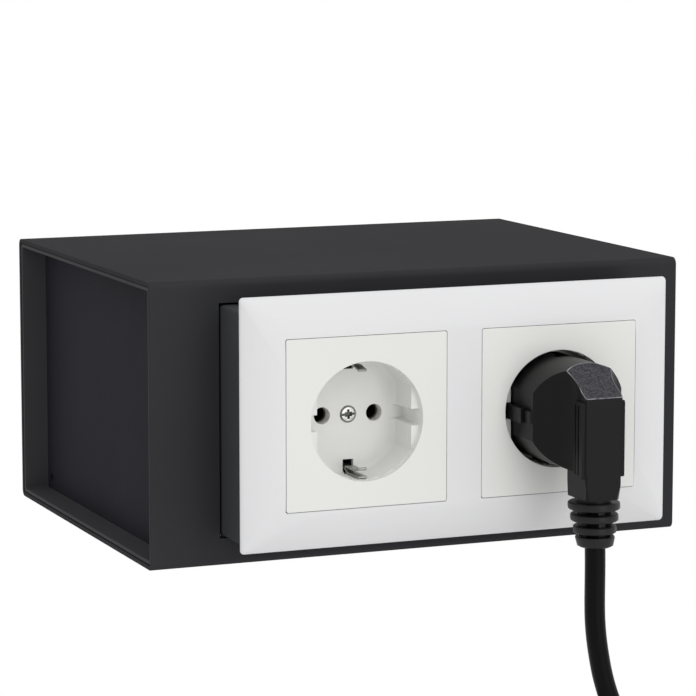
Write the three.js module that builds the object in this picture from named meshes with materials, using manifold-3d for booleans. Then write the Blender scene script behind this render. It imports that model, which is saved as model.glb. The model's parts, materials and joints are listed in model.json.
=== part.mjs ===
// A wall safe disguised as a double power outlet, in millimetres.
// +X runs to the right seen from the front, +Y into the wall, +Z up.
// The origin is the middle of the casing's rear face, where the safe is bolted to the wall.
// The drawer stands ajar, and the plug that pulls it open sits in the right outlet.

import * as THREE from "three";
import { mergeVertices } from "three/addons/utils/BufferGeometryUtils.js";
import Module from "manifold-3d";

const wasm = await Module();
wasm.setup();

// Casing: a folded steel sleeve with an end pan in each side
const CASING_SIDE_BAND = 19.8;
const CASING_BAND = 5.9;
const CASING_DEPTH = 150;
const CASING_SHEET = 1.5;
const BEND_RADIUS = 2.4;
const END_RECESS = 9.4;
const PAN_SHEET = 1.2;
const PAN_BEND = 1.2;
const PAN_HOLE_RADIUS = 1.75;
const PAN_HOLE_INSET = 5.2;
const ANCHOR_HOLE_RADIUS = 4;
const ANCHOR_SPACING = 120;

// The gap that touching pieces keep, and the drawer's running clearance in the cut-out
const SEAT = 0.3;
const CUTOUT_CLEARANCE = 0.8;

// How far a cutter runs past a face, and how far joined solids sink into each other
const OVERCUT = 1;
const OVERLAP = 0.5;

// Steps of the round forms
const FINE_SIDES = 48;
const ROUND_SIDES = 40;
const SMALL_SIDES = 24;
const BEND_STEPS = 5;
const SCOOP_STEPS = 8;
const NECK_STEPS = 3;

// Drawer: a folded tray behind the cover frame
const DRAWER_X = 3.4;
const DRAWER_LENGTH = 141.2;
const DRAWER_SIDE_STEP = 2.1;
const DRAWER_TOP_STEP = 5.3;
const DRAWER_BOTTOM_STEP = 1.9;
const DRAWER_SHEET = 1.2;
const DRAWER_BEND = 1.2;
const DRAWER_AJAR = 20.6;
const RIM_FLANGE = 6;
const BULKHEAD_SETBACK = 39.5;
const STOP_LUG_WIDTH = 24;
const STOP_LUG_HEIGHT = 5.3;
const STOP_WIDTH = 28;
const KEEPER_WIDTH = 18;
const DRAWER_TRAVEL = 86;

// Guides that carry the drawer
const GUIDE_SHEET = 1.5;
const GUIDE_SHELF = 10;
const GUIDE_FOOT = 10;
const GUIDE_TAB = 4;
const GUIDE_LIP = 8;
const GUIDE_INSET = 4;
const BRACKET_SHEET = 1.2;
const BRACKET_FLANGE = 12;
const BRACKET_DROP = 6;

// Cover frame and outlet inserts
const FRAME_Z = 2.5;
const FRAME_HEIGHT = 85.8;
const FRAME_CORNER = 2.2;
const FRAME_RIM = 2;
const FRAME_WALL = 1.6;
const FRAME_STEP = 1.4;
const RIM_CHAMFER = 0.4;
const INNER_CROWN = 0.76;
const FRAME_RISE = 5.8;
const FRAME_CROWN_WIDTH = 13.2;
const COVER_BAND = 14.05;
const COVER_SIDE_BAND = 14.45;
const COVER_GAP = 13.3;
const INSERT_CORNER = 1;
const INSERT_GROOVE = 0.4;
const INSERT_PROUD = 0.2;
const INSERT_SKIRT = 4;
const INSERT_FACE = 2.2;
const INSERT_WALL = 1.6;
const LEDGE = 1.5;
const LEDGE_SHEET = 1.2;
const COLLAR_WALL = 1.3;

// Outlet well
const WELL_RADIUS = 20.2;
const WELL_DEPTH = 17;
const WELL_FLAT = 17;
const WELL_LEDGE = 2.6;
const WELL_FLOOR = 1.8;
const NOTCH_HEIGHT = 5.6;
const CONTACT_PITCH = 19;
const CONTACT_HOLE_RADIUS = 2.85;
const CENTRE_HOLE_RADIUS = 2.7;
const CLIP_SLOT_WIDTH = 3.8;
const CLIP_SLOT_HEIGHT = 4.7;

// Support plate, socket base and contacts behind each insert
const SUPPORT_GAP = 5;
const SUPPORT_INSET = 6.9;
const SUPPORT_SHEET = 1;
const PLATE_CORNER = 3;
const SUPPORT_HOLE_RADIUS = 23;
const BASE_RADIUS = 25;
const BASE_CLEARANCE = 0.5;
const BASE_REAR_RADIUS = 21;
const BASE_STEP = 8;
const BASE_FLOOR = 18;
const SLEEVE_RADIUS = 3.4;
const SLEEVE_BORE = 2.55;
const CHAMBER_END = 1.5;
const CLIP_THICKNESS = 0.7;
const CLIP_WIDTH = 3.2;
const CLIP_SPREAD = 2.8;
const CLIP_STOP = 4;
const CLIP_JOG = 1.2;
const CLIP_TIP = 2.2;

// Screws and the hidden lock
const SCREW_HEAD_RADIUS = 2.95;
const SCREW_HEAD_HEIGHT = 1.1;
const SCREW_SINK = 1;
const SCREW_SLOT = 0.8;
const PLATE_SCREW_RADIUS = 1.7;
const PLATE_SCREW_HEAD = 2.2;
const PLATE_SCREW_HEIGHT = 1.4;
const PLATE_SCREW_INSET = 13;
const PLATE_SCREW_LENGTH = 6;
const SPINDLE_RADIUS = 2.3;
const RUNNING_FIT = 0.1;
const BUSH_RADIUS = 4.2;
const BUSH_FLANGE_RADIUS = 6.5;
const BUSH_FLANGE = 1.5;
const BUSH_DEPTH = 8;
const ARM_LENGTH = 42.7;
const ARM_THICKNESS = 2;
const ARM_HUB_RADIUS = 6;
const ARM_TIP_WIDTH = 7;
const NUT_WIDTH = 8;
const NUT_HEIGHT = 2.6;
const SPINDLE_TAIL = 1;
const KEEPER_CLEARANCE = 0.8;

// Right-angle plug
const PLUG_RADIUS = 18.5;
const PLUG_FLAT = 16.6;
const PLUG_REACH = 13.7;
const PLUG_LENGTH = 33.9;
const PLUG_FACE_GAP = 1;
const NECK_WIDTH = 13.4;
const NECK_DEPTH = 14.5;
const NECK_BOTTOM = 26.1;
const NECK_TIP_WIDTH = 12.2;
const NECK_CHAMFER = 1.2;
const SCOOP_WIDTH = 7;
const SCOOP_DEPTH = 16.7;
const SCOOP_START = 7.2;
const SCOOP_BOW = -1.6;
const FACET_FOOT = 8.6;
const FACET_RUN = 14.4;
const PIN_RADIUS = 2.4;
const PIN_LENGTH = 18;
const PIN_ROOT = 3.5;
const EARTH_NOTCH_WIDTH = 6;
const EARTH_NOTCH_DEPTH = 3;
const NOTCH_RUN_OUT = 3;
const EARTH_STRIP = 0.4;
const LUG_HEIGHT = 5;
const LUG_FRONT_HEIGHT = 4.1;
const LUG_REACH = 18.7;
const LUG_FRONT_REACH = 17.6;
const LUG_STEP = 8.6;
const GRIP_THICKNESS = 1.25;
const GRIP_SETBACK = 0.6;
const GRIP_DEPTH = 6.6;
const RING_THICKNESS = 2.5;
const RELIEF_CORE = 5.8;
const RELIEF_DROP = 13;
const RELIEF_COLLAR = 3.7;
const RELIEF_WEB = 2.6;
const RELIEF_LEAN = 0.045;

// Lead: 1.5 m of 7 mm cord, mostly wound into a hanging coil
const CORD_RADIUS = 3.5;
const CORD_SIDES = 8;
const CORD_STEPS = 30;
const COIL_OUTER = 42.2;
const COIL_INNER = 30.5;
const COIL_LAYER_PITCH = 7.6;
const COIL_LAYERS = 4;
const COIL_FULL_TURNS = 6;
const LOOP_STEPS = 24;
const LOOP_SIDES = 6;
const TAIL_LENGTH = 18;
const TIE_WIDTH = 12;
const TIE_THICKNESS = 1.2;
const TIE_SLACK = 1.6;
const TIE_CORNER = 1.8;
const CONNECTOR_WIDTH = 27;
const CONNECTOR_DEPTH = 20;
const CONNECTOR_LENGTH = 32;
const CONNECTOR_RELIEF = 22;
const CONNECTOR_HOOD = 9;
const CONNECTOR_STEP = 1.2;
const CONNECTOR_CORNER = 5;
const SLOT_WIDTH = 2.5;
const CONNECTOR_SLOTS = [
  [-7, -1],
  [7, -1],
  [0, 3],
];

// Planes along Y that the pieces share
const CASING_FRONT = -CASING_DEPTH;
const FRAME_BACK = CASING_FRONT - DRAWER_AJAR;
const RIM_FRONT = FRAME_BACK - FRAME_RIM;
const PLATEAU = RIM_FRONT - FRAME_RISE;
const INSERT_FRONT = PLATEAU - INSERT_PROUD;
const SKIRT_BACK = INSERT_FRONT + INSERT_SKIRT;
const LEDGE_FRONT = SKIRT_BACK + SEAT;
const LEDGE_BACK = LEDGE_FRONT + LEDGE_SHEET;
const SUPPORT_FRONT = LEDGE_BACK + SEAT;
const SUPPORT_BACK = SUPPORT_FRONT + SUPPORT_SHEET;
const TRAY_FRONT = SUPPORT_BACK + SEAT;
const TRAY_WALL_BACK = TRAY_FRONT + DRAWER_SHEET;
const TRAY_BACK = TRAY_FRONT + DRAWER_LENGTH;
const FLOOR_FRONT = INSERT_FRONT + WELL_DEPTH;
const FLOOR_BACK = FLOOR_FRONT + WELL_FLOOR;
const BASE_FRONT = FLOOR_BACK + SEAT;
const BASE_BACK = BASE_FRONT + BASE_FLOOR;
const FLANGE_FRONT = BASE_BACK + SEAT;
const ARM_FRONT = FLANGE_FRONT + BUSH_FLANGE + SEAT;
const ARM_BACK = ARM_FRONT + ARM_THICKNESS;
const NUT_FRONT = ARM_BACK + SEAT;
const NUT_BACK = NUT_FRONT + NUT_HEIGHT;
const SCREW_END = BASE_BACK - BUSH_DEPTH - SEAT;
const KEEPER_BACK = ARM_FRONT + DRAWER_AJAR - KEEPER_CLEARANCE;
const BULKHEAD_FRONT = TRAY_FRONT + BULKHEAD_SETBACK;
const LUG_FRONT = TRAY_BACK - DRAWER_SHEET;
const STOP_BACK = LUG_FRONT - DRAWER_TRAVEL - SEAT;

// Sizes that follow from the cover frame's height and the bands round it
const INSERT_SIZE = FRAME_HEIGHT - 2 * COVER_BAND;
const OUTLET_PITCH = INSERT_SIZE + COVER_GAP;
const FRAME_WIDTH = OUTLET_PITCH + INSERT_SIZE + 2 * COVER_SIDE_BAND;
const CASING_WIDTH = FRAME_WIDTH + 2 * CASING_SIDE_BAND;
const CASING_HEIGHT = FRAME_HEIGHT + 2 * CASING_BAND;
const DRAWER_WIDTH = FRAME_WIDTH - 2 * DRAWER_SIDE_STEP;
const DRAWER_HEIGHT = FRAME_HEIGHT - DRAWER_TOP_STEP - DRAWER_BOTTOM_STEP;
const DRAWER_Z = FRAME_Z + (DRAWER_BOTTOM_STEP - DRAWER_TOP_STEP) / 2;
const SUPPORT_WIDTH = OUTLET_PITCH - SUPPORT_GAP;
const SUPPORT_HEIGHT = FRAME_HEIGHT - 2 * SUPPORT_INSET;
const COLLAR_HALF = INSERT_SIZE / 2 + INSERT_GROOVE + COLLAR_WALL;

// Places across the front
const HALF_WIDTH = CASING_WIDTH / 2;
const HALF_HEIGHT = CASING_HEIGHT / 2;
const ROOF = HALF_HEIGHT - CASING_SHEET;
const OUTLETS = { left: DRAWER_X - OUTLET_PITCH / 2, right: DRAWER_X + OUTLET_PITCH / 2 };
const TRAY_LEFT = DRAWER_X - DRAWER_WIDTH / 2;
const TRAY_RIGHT = DRAWER_X + DRAWER_WIDTH / 2;
const TRAY_TOP = DRAWER_Z + DRAWER_HEIGHT / 2;
const TRAY_BOTTOM = DRAWER_Z - DRAWER_HEIGHT / 2;
const PLUG_BACK = FLOOR_FRONT - PLUG_FACE_GAP;
const PLUG_SHOULDER = INSERT_FRONT - PLUG_REACH;
const PLUG_FRONT = INSERT_FRONT - PLUG_LENGTH;
const CORD_Y = PLUG_FRONT + NECK_DEPTH / 2;
const NOTCH_FRONT = INSERT_FRONT - NOTCH_RUN_OUT;
const CORD_TOP = FRAME_Z - NECK_BOTTOM - SEAT;

const finish = (color, roughness, metalness = 0) =>
  new THREE.MeshStandardMaterial({ color, roughness, metalness });
const MATERIALS = {
  casing: finish(0x3d3f40, 0.55, 0.2),
  pan: finish(0x2e2d33, 0.55, 0.2),
  tray: finish(0x2f3133, 0.55, 0.2),
  zinc: finish(0xa9adb0, 0.4, 0.9),
  cover: finish(0xdedfe0, 0.35),
  insert: finish(0xdfe0db, 0.35),
  base: finish(0xc9c8c2, 0.6),
  nickel: finish(0xc2c4c6, 0.3, 0.9),
  brass: finish(0xb9974f, 0.35, 0.9),
  plug: finish(0x1c1c1e, 0.5),
  cord: finish(0x161618, 0.55),
  tie: finish(0x202022, 0.8),
};

const group = new THREE.Group();

// Solids

function merged(geometry) {
  const bare = geometry.clone();
  bare.deleteAttribute("normal");
  bare.deleteAttribute("uv");
  return mergeVertices(bare, 1e-4);
}

function solidOf(geometry) {
  const { attributes, index } = merged(geometry);
  const spots = attributes.position.array;
  const at = (i) => new THREE.Vector3().fromArray(spots, 3 * i);
  const corners = [];
  let volume = 0;
  for (let i = 0; i < index.count; i += 3) {
    const [a, b, c] = [index.array[i], index.array[i + 1], index.array[i + 2]];
    if (a === b || b === c || c === a) continue;
    corners.push(a, b, c);
    volume += at(a).dot(at(b).cross(at(c)));
  }
  if (volume < 0) {
    for (let i = 0; i < corners.length; i += 3) {
      [corners[i], corners[i + 1]] = [corners[i + 1], corners[i]];
    }
  }
  const mesh = new wasm.Mesh({
    numProp: 3,
    vertProperties: Float32Array.from(spots),
    triVerts: Uint32Array.from(corners),
  });
  return new wasm.Manifold(mesh);
}

const join = (first, ...rest) => rest.reduce((whole, piece) => whole.add(piece), first);
const cut = (first, ...rest) => rest.reduce((whole, piece) => whole.subtract(piece), first);

function addPiece(name, solid, material) {
  const { vertProperties, triVerts } = solid.getMesh();
  const geometry = new THREE.BufferGeometry();
  geometry.setAttribute("position", new THREE.BufferAttribute(vertProperties, 3));
  geometry.setIndex(new THREE.BufferAttribute(triVerts, 1));
  geometry.computeVertexNormals();
  const mesh = new THREE.Mesh(geometry, material);
  mesh.name = name;
  group.add(mesh);
}

function extruded(shape, length, curveSegments) {
  const settings = { depth: length, bevelEnabled: false, curveSegments };
  return new THREE.ExtrudeGeometry(shape, settings);
}

// An outline in X and Z, extruded along Y
function prismY(shape, y0, y1, arcSteps = 4) {
  const geometry = extruded(shape, y1 - y0, arcSteps);
  return solidOf(geometry.rotateX(Math.PI / 2).translate(0, y1, 0));
}

// An outline in Y and Z, extruded along X
function prismX(shape, x0, x1, arcSteps = 4) {
  const turn = new THREE.Matrix4().makeBasis(
    new THREE.Vector3(0, 1, 0),
    new THREE.Vector3(0, 0, 1),
    new THREE.Vector3(1, 0, 0),
  );
  const geometry = extruded(shape, x1 - x0, arcSteps);
  return solidOf(geometry.applyMatrix4(turn).translate(x0, 0, 0));
}

// An outline in X and Y, extruded along Z
function prismZ(shape, z0, z1, arcSteps = 4) {
  return solidOf(extruded(shape, z1 - z0, arcSteps).translate(0, 0, z0));
}

function block(x0, x1, y0, y1, z0, z1) {
  const geometry = new THREE.BoxGeometry(x1 - x0, y1 - y0, z1 - z0);
  return solidOf(geometry.translate((x0 + x1) / 2, (y0 + y1) / 2, (z0 + z1) / 2));
}

// A cylinder along Y
function disc(radius, y0, y1, x, z, sides = ROUND_SIDES) {
  const geometry = new THREE.CylinderGeometry(radius, radius, y1 - y0, sides);
  return solidOf(geometry.translate(x, (y0 + y1) / 2, z));
}

// A closed profile of [radius, height] turned about an upright axis
function turnedZ(profile, x, y, sides = SMALL_SIDES) {
  const points = [...profile, profile[0]].map(([r, z]) => new THREE.Vector2(r, z));
  return solidOf(new THREE.LatheGeometry(points, sides).rotateX(Math.PI / 2).translate(x, y, 0));
}

function roundedRect(x0, x1, z0, z1, r) {
  const shape = new THREE.Shape();
  shape.moveTo(x0 + r, z0);
  shape.lineTo(x1 - r, z0);
  shape.absarc(x1 - r, z0 + r, r, -Math.PI / 2, 0);
  shape.lineTo(x1, z1 - r);
  shape.absarc(x1 - r, z1 - r, r, 0, Math.PI / 2);
  shape.lineTo(x0 + r, z1);
  shape.absarc(x0 + r, z1 - r, r, Math.PI / 2, Math.PI);
  shape.lineTo(x0, z0 + r);
  shape.absarc(x0 + r, z0 + r, r, Math.PI, Math.PI * 1.5);
  return shape;
}

const square = (x, z, size, r) =>
  roundedRect(x - size / 2, x + size / 2, z - size / 2, z + size / 2, r);

const polygon = (points) => new THREE.Shape(points.map(([a, b]) => new THREE.Vector2(a, b)));

// A bent strip: the outline of a line of points given a thickness
function bentStrip(points, thickness) {
  const line = points.map(([a, b]) => new THREE.Vector2(a, b));
  const side = (sign) =>
    line.map((p, i) => {
      const before = p.clone().sub(line[Math.max(i - 1, 0)]).normalize();
      const after = line[Math.min(i + 1, line.length - 1)].clone().sub(p).normalize();
      const along = before.clone().add(after).normalize();
      const normal = new THREE.Vector2(-along.y, along.x);
      const leg = i === 0 ? after : before;
      const stretch = 1 / Math.max(normal.dot(new THREE.Vector2(-leg.y, leg.x)), 0.3);
      return p.clone().addScaledVector(normal, (sign * thickness * stretch) / 2);
    });
  return new THREE.Shape([...side(1), ...side(-1).reverse()]);
}

// Casing

function casingSleeve() {
  const outline = roundedRect(CASING_FRONT, 0, -HALF_HEIGHT, HALF_HEIGHT, BEND_RADIUS);
  const inner = roundedRect(
    CASING_FRONT + CASING_SHEET,
    -CASING_SHEET,
    -ROOF,
    ROOF,
    BEND_RADIUS - CASING_SHEET,
  );
  outline.holes.push(inner);
  const tube = prismX(outline, -HALF_WIDTH, HALF_WIDTH, BEND_STEPS);
  const cutout = block(
    TRAY_LEFT - CUTOUT_CLEARANCE,
    TRAY_RIGHT + CUTOUT_CLEARANCE,
    CASING_FRONT - OVERCUT,
    CASING_FRONT + CASING_SHEET + OVERCUT,
    TRAY_BOTTOM - CUTOUT_CLEARANCE,
    TRAY_TOP + CUTOUT_CLEARANCE,
  );
  const anchors = [-1, 1].map((side) =>
    disc(
      ANCHOR_HOLE_RADIUS,
      -CASING_SHEET - OVERCUT,
      OVERCUT,
      (side * ANCHOR_SPACING) / 2,
      0,
      SMALL_SIDES,
    ),
  );
  return cut(tube, cutout, ...anchors);
}

// A pan whose flanges turn outward and line the sleeve's end
function endPan(side) {
  const fit = CASING_SHEET + SEAT;
  const panel = HALF_WIDTH - END_RECESS;
  const rim = HALF_WIDTH - SEAT;
  const outline = (inset, r) =>
    roundedRect(CASING_FRONT + inset, -inset, -HALF_HEIGHT + inset, HALF_HEIGHT - inset, r);
  const span = (a, b) => (side < 0 ? [-b, -a] : [a, b]);
  const outer = prismX(outline(fit, PAN_BEND), ...span(panel - PAN_SHEET, rim));
  const hollow = prismX(outline(fit + PAN_SHEET, PAN_BEND / 2), ...span(panel, rim + OVERCUT));
  const hole = new THREE.Shape();
  const inset = fit + PAN_HOLE_INSET;
  hole.absarc(-inset, -HALF_HEIGHT + inset, PAN_HOLE_RADIUS, 0, Math.PI * 2);
  const through = span(panel - PAN_SHEET - OVERCUT, panel + OVERCUT);
  return cut(outer, hollow, prismX(hole, ...through, SMALL_SIDES / 2));
}

// The sheet rail under one edge of the drawer: foot, riser, shelf and side lip
function guideRail(side) {
  const edge = DRAWER_X + side * (DRAWER_WIDTH / 2 + SEAT);
  const shelf = TRAY_BOTTOM - SEAT - GUIDE_SHEET / 2;
  const foot = -ROOF + SEAT + GUIDE_SHEET / 2;
  const lip = edge + (side * GUIDE_SHEET) / 2;
  const riser = edge - side * GUIDE_SHELF;
  const line = [
    [riser - side * GUIDE_FOOT, foot],
    [riser, foot],
    [riser, shelf],
    [lip, shelf],
    [lip, shelf + GUIDE_LIP],
  ];
  return prismY(bentStrip(line, GUIDE_SHEET), CASING_FRONT + GUIDE_INSET, -GUIDE_INSET);
}

// The angle under the roof that keeps the drawer from tipping
function topGuide(side) {
  const edge = DRAWER_X + side * (DRAWER_WIDTH / 2);
  const inner = edge - side * (RIM_FLANGE - GUIDE_SHEET / 2);
  const top = ROOF - SEAT - GUIDE_SHEET / 2;
  const line = [
    [edge + side * GUIDE_TAB, top],
    [inner, top],
    [inner, TRAY_TOP + SEAT],
  ];
  return prismY(bentStrip(line, GUIDE_SHEET), CASING_FRONT + GUIDE_INSET, -GUIDE_INSET);
}

// A bent bracket under the roof, with its upright leg ending in the plane y = back
function roofBracket(x, width, back) {
  const top = ROOF - SEAT - BRACKET_SHEET / 2;
  const leg = back - BRACKET_SHEET / 2;
  const line = [
    [back - BRACKET_FLANGE, top],
    [leg, top],
    [leg, ROOF - BRACKET_DROP],
  ];
  return prismX(bentStrip(line, BRACKET_SHEET), x - width / 2, x + width / 2);
}

// Drawer

function drawerTray() {
  const t = DRAWER_SHEET;
  const outline = roundedRect(TRAY_LEFT, TRAY_RIGHT, TRAY_BOTTOM, TRAY_TOP, DRAWER_BEND);
  const outer = prismY(outline, TRAY_FRONT, TRAY_BACK);
  const pocket = block(
    TRAY_LEFT + t,
    TRAY_RIGHT - t,
    TRAY_WALL_BACK,
    TRAY_BACK - t,
    TRAY_BOTTOM + t,
    TRAY_TOP - t,
  );
  const mouth = block(
    TRAY_LEFT + RIM_FLANGE,
    TRAY_RIGHT - RIM_FLANGE,
    TRAY_WALL_BACK,
    TRAY_BACK - t,
    TRAY_TOP - t - OVERCUT,
    TRAY_TOP + OVERCUT,
  );
  const holes = Object.values(OUTLETS).map((x) =>
    disc(
      BASE_RADIUS + BASE_CLEARANCE,
      TRAY_FRONT - OVERCUT,
      TRAY_WALL_BACK + OVERCUT,
      x,
      FRAME_Z,
      ROUND_SIDES,
    ),
  );
  const lug = block(
    DRAWER_X - STOP_LUG_WIDTH / 2,
    DRAWER_X + STOP_LUG_WIDTH / 2,
    LUG_FRONT,
    TRAY_BACK,
    TRAY_TOP - OVERLAP,
    TRAY_TOP + STOP_LUG_HEIGHT,
  );
  return join(cut(outer, pocket, mouth, ...holes, ...plateScrewHoles()), lug);
}

// The inner front wall between the outlets and the storage space
function drawerBulkhead() {
  const t = DRAWER_SHEET;
  const side = t + SEAT;
  const foot = TRAY_BOTTOM + t + SEAT;
  const line = [
    [BULKHEAD_FRONT + BRACKET_FLANGE, foot + t / 2],
    [BULKHEAD_FRONT + t / 2, foot + t / 2],
    [BULKHEAD_FRONT + t / 2, TRAY_TOP - t - SEAT],
  ];
  return prismX(bentStrip(line, t), TRAY_LEFT + side, TRAY_RIGHT - side);
}

// Nested rounded rectangles, each [inset, y, corner radius], closed at both ends
function pillow(rings, arcSteps = 3) {
  const spots = [];
  const corners = [];
  const loops = rings.map(([inset, y, r]) => {
    const shape = roundedRect(
      DRAWER_X - FRAME_WIDTH / 2 + inset,
      DRAWER_X + FRAME_WIDTH / 2 - inset,
      FRAME_Z - FRAME_HEIGHT / 2 + inset,
      FRAME_Z + FRAME_HEIGHT / 2 - inset,
      r,
    );
    const points = shape.getPoints(arcSteps);
    if (points[0].distanceTo(points.at(-1)) < 1e-6) points.pop();
    return points.map((p) => spots.push(p.x, y, p.y) / 3 - 1);
  });
  const count = loops[0].length;
  const middle = (y) => spots.push(DRAWER_X, y, FRAME_Z) / 3 - 1;
  const [back, front] = [middle(rings[0][1]), middle(rings.at(-1)[1])];
  for (let i = 0; i < count; i++) {
    const next = (i + 1) % count;
    corners.push(back, loops[0][next], loops[0][i]);
    corners.push(front, loops.at(-1)[i], loops.at(-1)[next]);
    for (let k = 0; k + 1 < loops.length; k++) {
      const [a, b, c, d] = [loops[k][i], loops[k][next], loops[k + 1][next], loops[k + 1][i]];
      corners.push(a, b, c, a, c, d);
    }
  }
  const geometry = new THREE.BufferGeometry();
  geometry.setAttribute("position", new THREE.Float32BufferAttribute(spots, 3));
  geometry.setIndex(corners);
  return solidOf(geometry);
}

// The crown rises steeply from the rim and runs out flat at the inserts
const crown = (share) => FRAME_RISE * (1 - (1 - share) ** 2);

function coverFrame() {
  const shares = [0.08, 0.2, 0.35, 0.55, 0.78, 1];
  const inside = FRAME_BACK - FRAME_STEP;
  const outer = pillow([
    [0, FRAME_BACK, FRAME_CORNER],
    [0, RIM_FRONT + RIM_CHAMFER, FRAME_CORNER],
    [RIM_CHAMFER, RIM_FRONT, FRAME_CORNER],
    ...shares.map((s) => [s * FRAME_CROWN_WIDTH, RIM_FRONT - crown(s), FRAME_CORNER]),
  ]);
  const inner = pillow([
    [FRAME_WALL, FRAME_BACK + OVERCUT, FRAME_CORNER / 2],
    [FRAME_WALL, inside, FRAME_CORNER / 2],
    ...shares.map((s) => [
      FRAME_WALL + s * FRAME_CROWN_WIDTH,
      inside - crown(s) * INNER_CROWN,
      FRAME_CORNER / 2,
    ]),
  ]);
  const opening = INSERT_SIZE + 2 * INSERT_GROOVE;
  const collars = Object.values(OUTLETS).map((x) =>
    prismY(
      square(x, FRAME_Z, opening + 2 * COLLAR_WALL, INSERT_CORNER),
      PLATEAU + OVERLAP,
      LEDGE_BACK,
    ),
  );
  const openings = Object.values(OUTLETS).flatMap((x) => [
    prismY(square(x, FRAME_Z, opening, INSERT_CORNER), PLATEAU - OVERCUT, LEDGE_FRONT),
    prismY(
      square(x, FRAME_Z, opening - 2 * LEDGE, INSERT_CORNER),
      PLATEAU,
      LEDGE_BACK + OVERCUT,
    ),
  ]);
  return cut(join(cut(outer, inner), ...collars), ...openings);
}

// The well's outline: a circle with flats at the sides and a guide notch in each flat
function wellCutter(x, y0, y1) {
  const ledge = INSERT_FRONT + WELL_LEDGE;
  const mouth = disc(WELL_RADIUS, y0, ledge, x, FRAME_Z, FINE_SIDES);
  const round = disc(WELL_RADIUS, y0, y1, x, FRAME_Z, FINE_SIDES);
  const upright = (reach, half) =>
    block(x - reach, x + reach, y0 - OVERCUT, y1 + OVERCUT, FRAME_Z - half, FRAME_Z + half);
  const between = upright(WELL_FLAT, HALF_HEIGHT);
  const notch = upright(WELL_RADIUS + OVERCUT, NOTCH_HEIGHT / 2);
  return join(mouth, round.intersect(join(between, notch)));
}

// The slot at the well's edge that an earth clip passes through
function clipSlot(x, side, y0, y1) {
  const half = CLIP_SLOT_WIDTH / 2;
  const edges = [WELL_RADIUS - CLIP_SLOT_HEIGHT, WELL_RADIUS].map((r) => FRAME_Z + side * r);
  return block(x - half, x + half, y0, y1, Math.min(...edges), Math.max(...edges));
}

function outletInsert(x) {
  const plate = prismY(square(x, FRAME_Z, INSERT_SIZE, INSERT_CORNER), INSERT_FRONT, SKIRT_BACK);
  const pocket = prismY(
    square(x, FRAME_Z, INSERT_SIZE - 2 * INSERT_WALL, INSERT_CORNER),
    INSERT_FRONT + INSERT_FACE,
    SKIRT_BACK + OVERCUT,
  );
  const cup = disc(
    WELL_RADIUS + INSERT_WALL,
    INSERT_FRONT + OVERLAP,
    FLOOR_BACK,
    x,
    FRAME_Z,
    FINE_SIDES,
  );
  const well = wellCutter(x, INSERT_FRONT - OVERCUT, FLOOR_FRONT);
  const through = (radius, dx) =>
    disc(radius, FLOOR_FRONT - OVERCUT, FLOOR_BACK + OVERCUT, x + dx, FRAME_Z, SMALL_SIDES);
  const sink = disc(
    SCREW_HEAD_RADIUS + SEAT,
    FLOOR_FRONT - OVERCUT,
    FLOOR_FRONT + SCREW_SINK,
    x,
    FRAME_Z,
    SMALL_SIDES,
  );
  const slots = [-1, 1].map((side) =>
    clipSlot(x, side, FLOOR_FRONT - OVERCUT, FLOOR_BACK + OVERCUT),
  );
  return cut(
    join(cut(plate, pocket), cup),
    well,
    sink,
    through(CENTRE_HOLE_RADIUS, 0),
    through(CONTACT_HOLE_RADIUS, -CONTACT_PITCH / 2),
    through(CONTACT_HOLE_RADIUS, CONTACT_PITCH / 2),
    ...slots,
  );
}

const PLATE_SCREW_Z = COLLAR_HALF + PLATE_SCREW_HEAD + SEAT;
const PLATE_SCREW_X = SUPPORT_WIDTH / 2 - PLATE_SCREW_INSET;

function plateScrewPlaces() {
  return Object.entries(OUTLETS).flatMap(([side, x]) =>
    [-1, 1].map((end) => ({
      name: `plate_screw_${end < 0 ? "lower" : "upper"}_${side}`,
      x: x + end * PLATE_SCREW_X,
      z: FRAME_Z + end * PLATE_SCREW_Z,
    })),
  );
}

function plateScrewHoles() {
  return plateScrewPlaces().map(({ x, z }) =>
    disc(
      PLATE_SCREW_RADIUS + SEAT,
      SUPPORT_FRONT - OVERCUT,
      TRAY_WALL_BACK + OVERCUT,
      x,
      z,
      SMALL_SIDES,
    ),
  );
}

function supportPlate(x) {
  const half = SUPPORT_WIDTH / 2;
  const tall = SUPPORT_HEIGHT / 2;
  const outline = roundedRect(x - half, x + half, FRAME_Z - tall, FRAME_Z + tall, PLATE_CORNER);
  const hole = disc(
    SUPPORT_HOLE_RADIUS,
    SUPPORT_FRONT - OVERCUT,
    SUPPORT_BACK + OVERCUT,
    x,
    FRAME_Z,
    ROUND_SIDES,
  );
  return cut(prismY(outline, SUPPORT_FRONT, SUPPORT_BACK), hole, ...plateScrewHoles());
}

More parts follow.
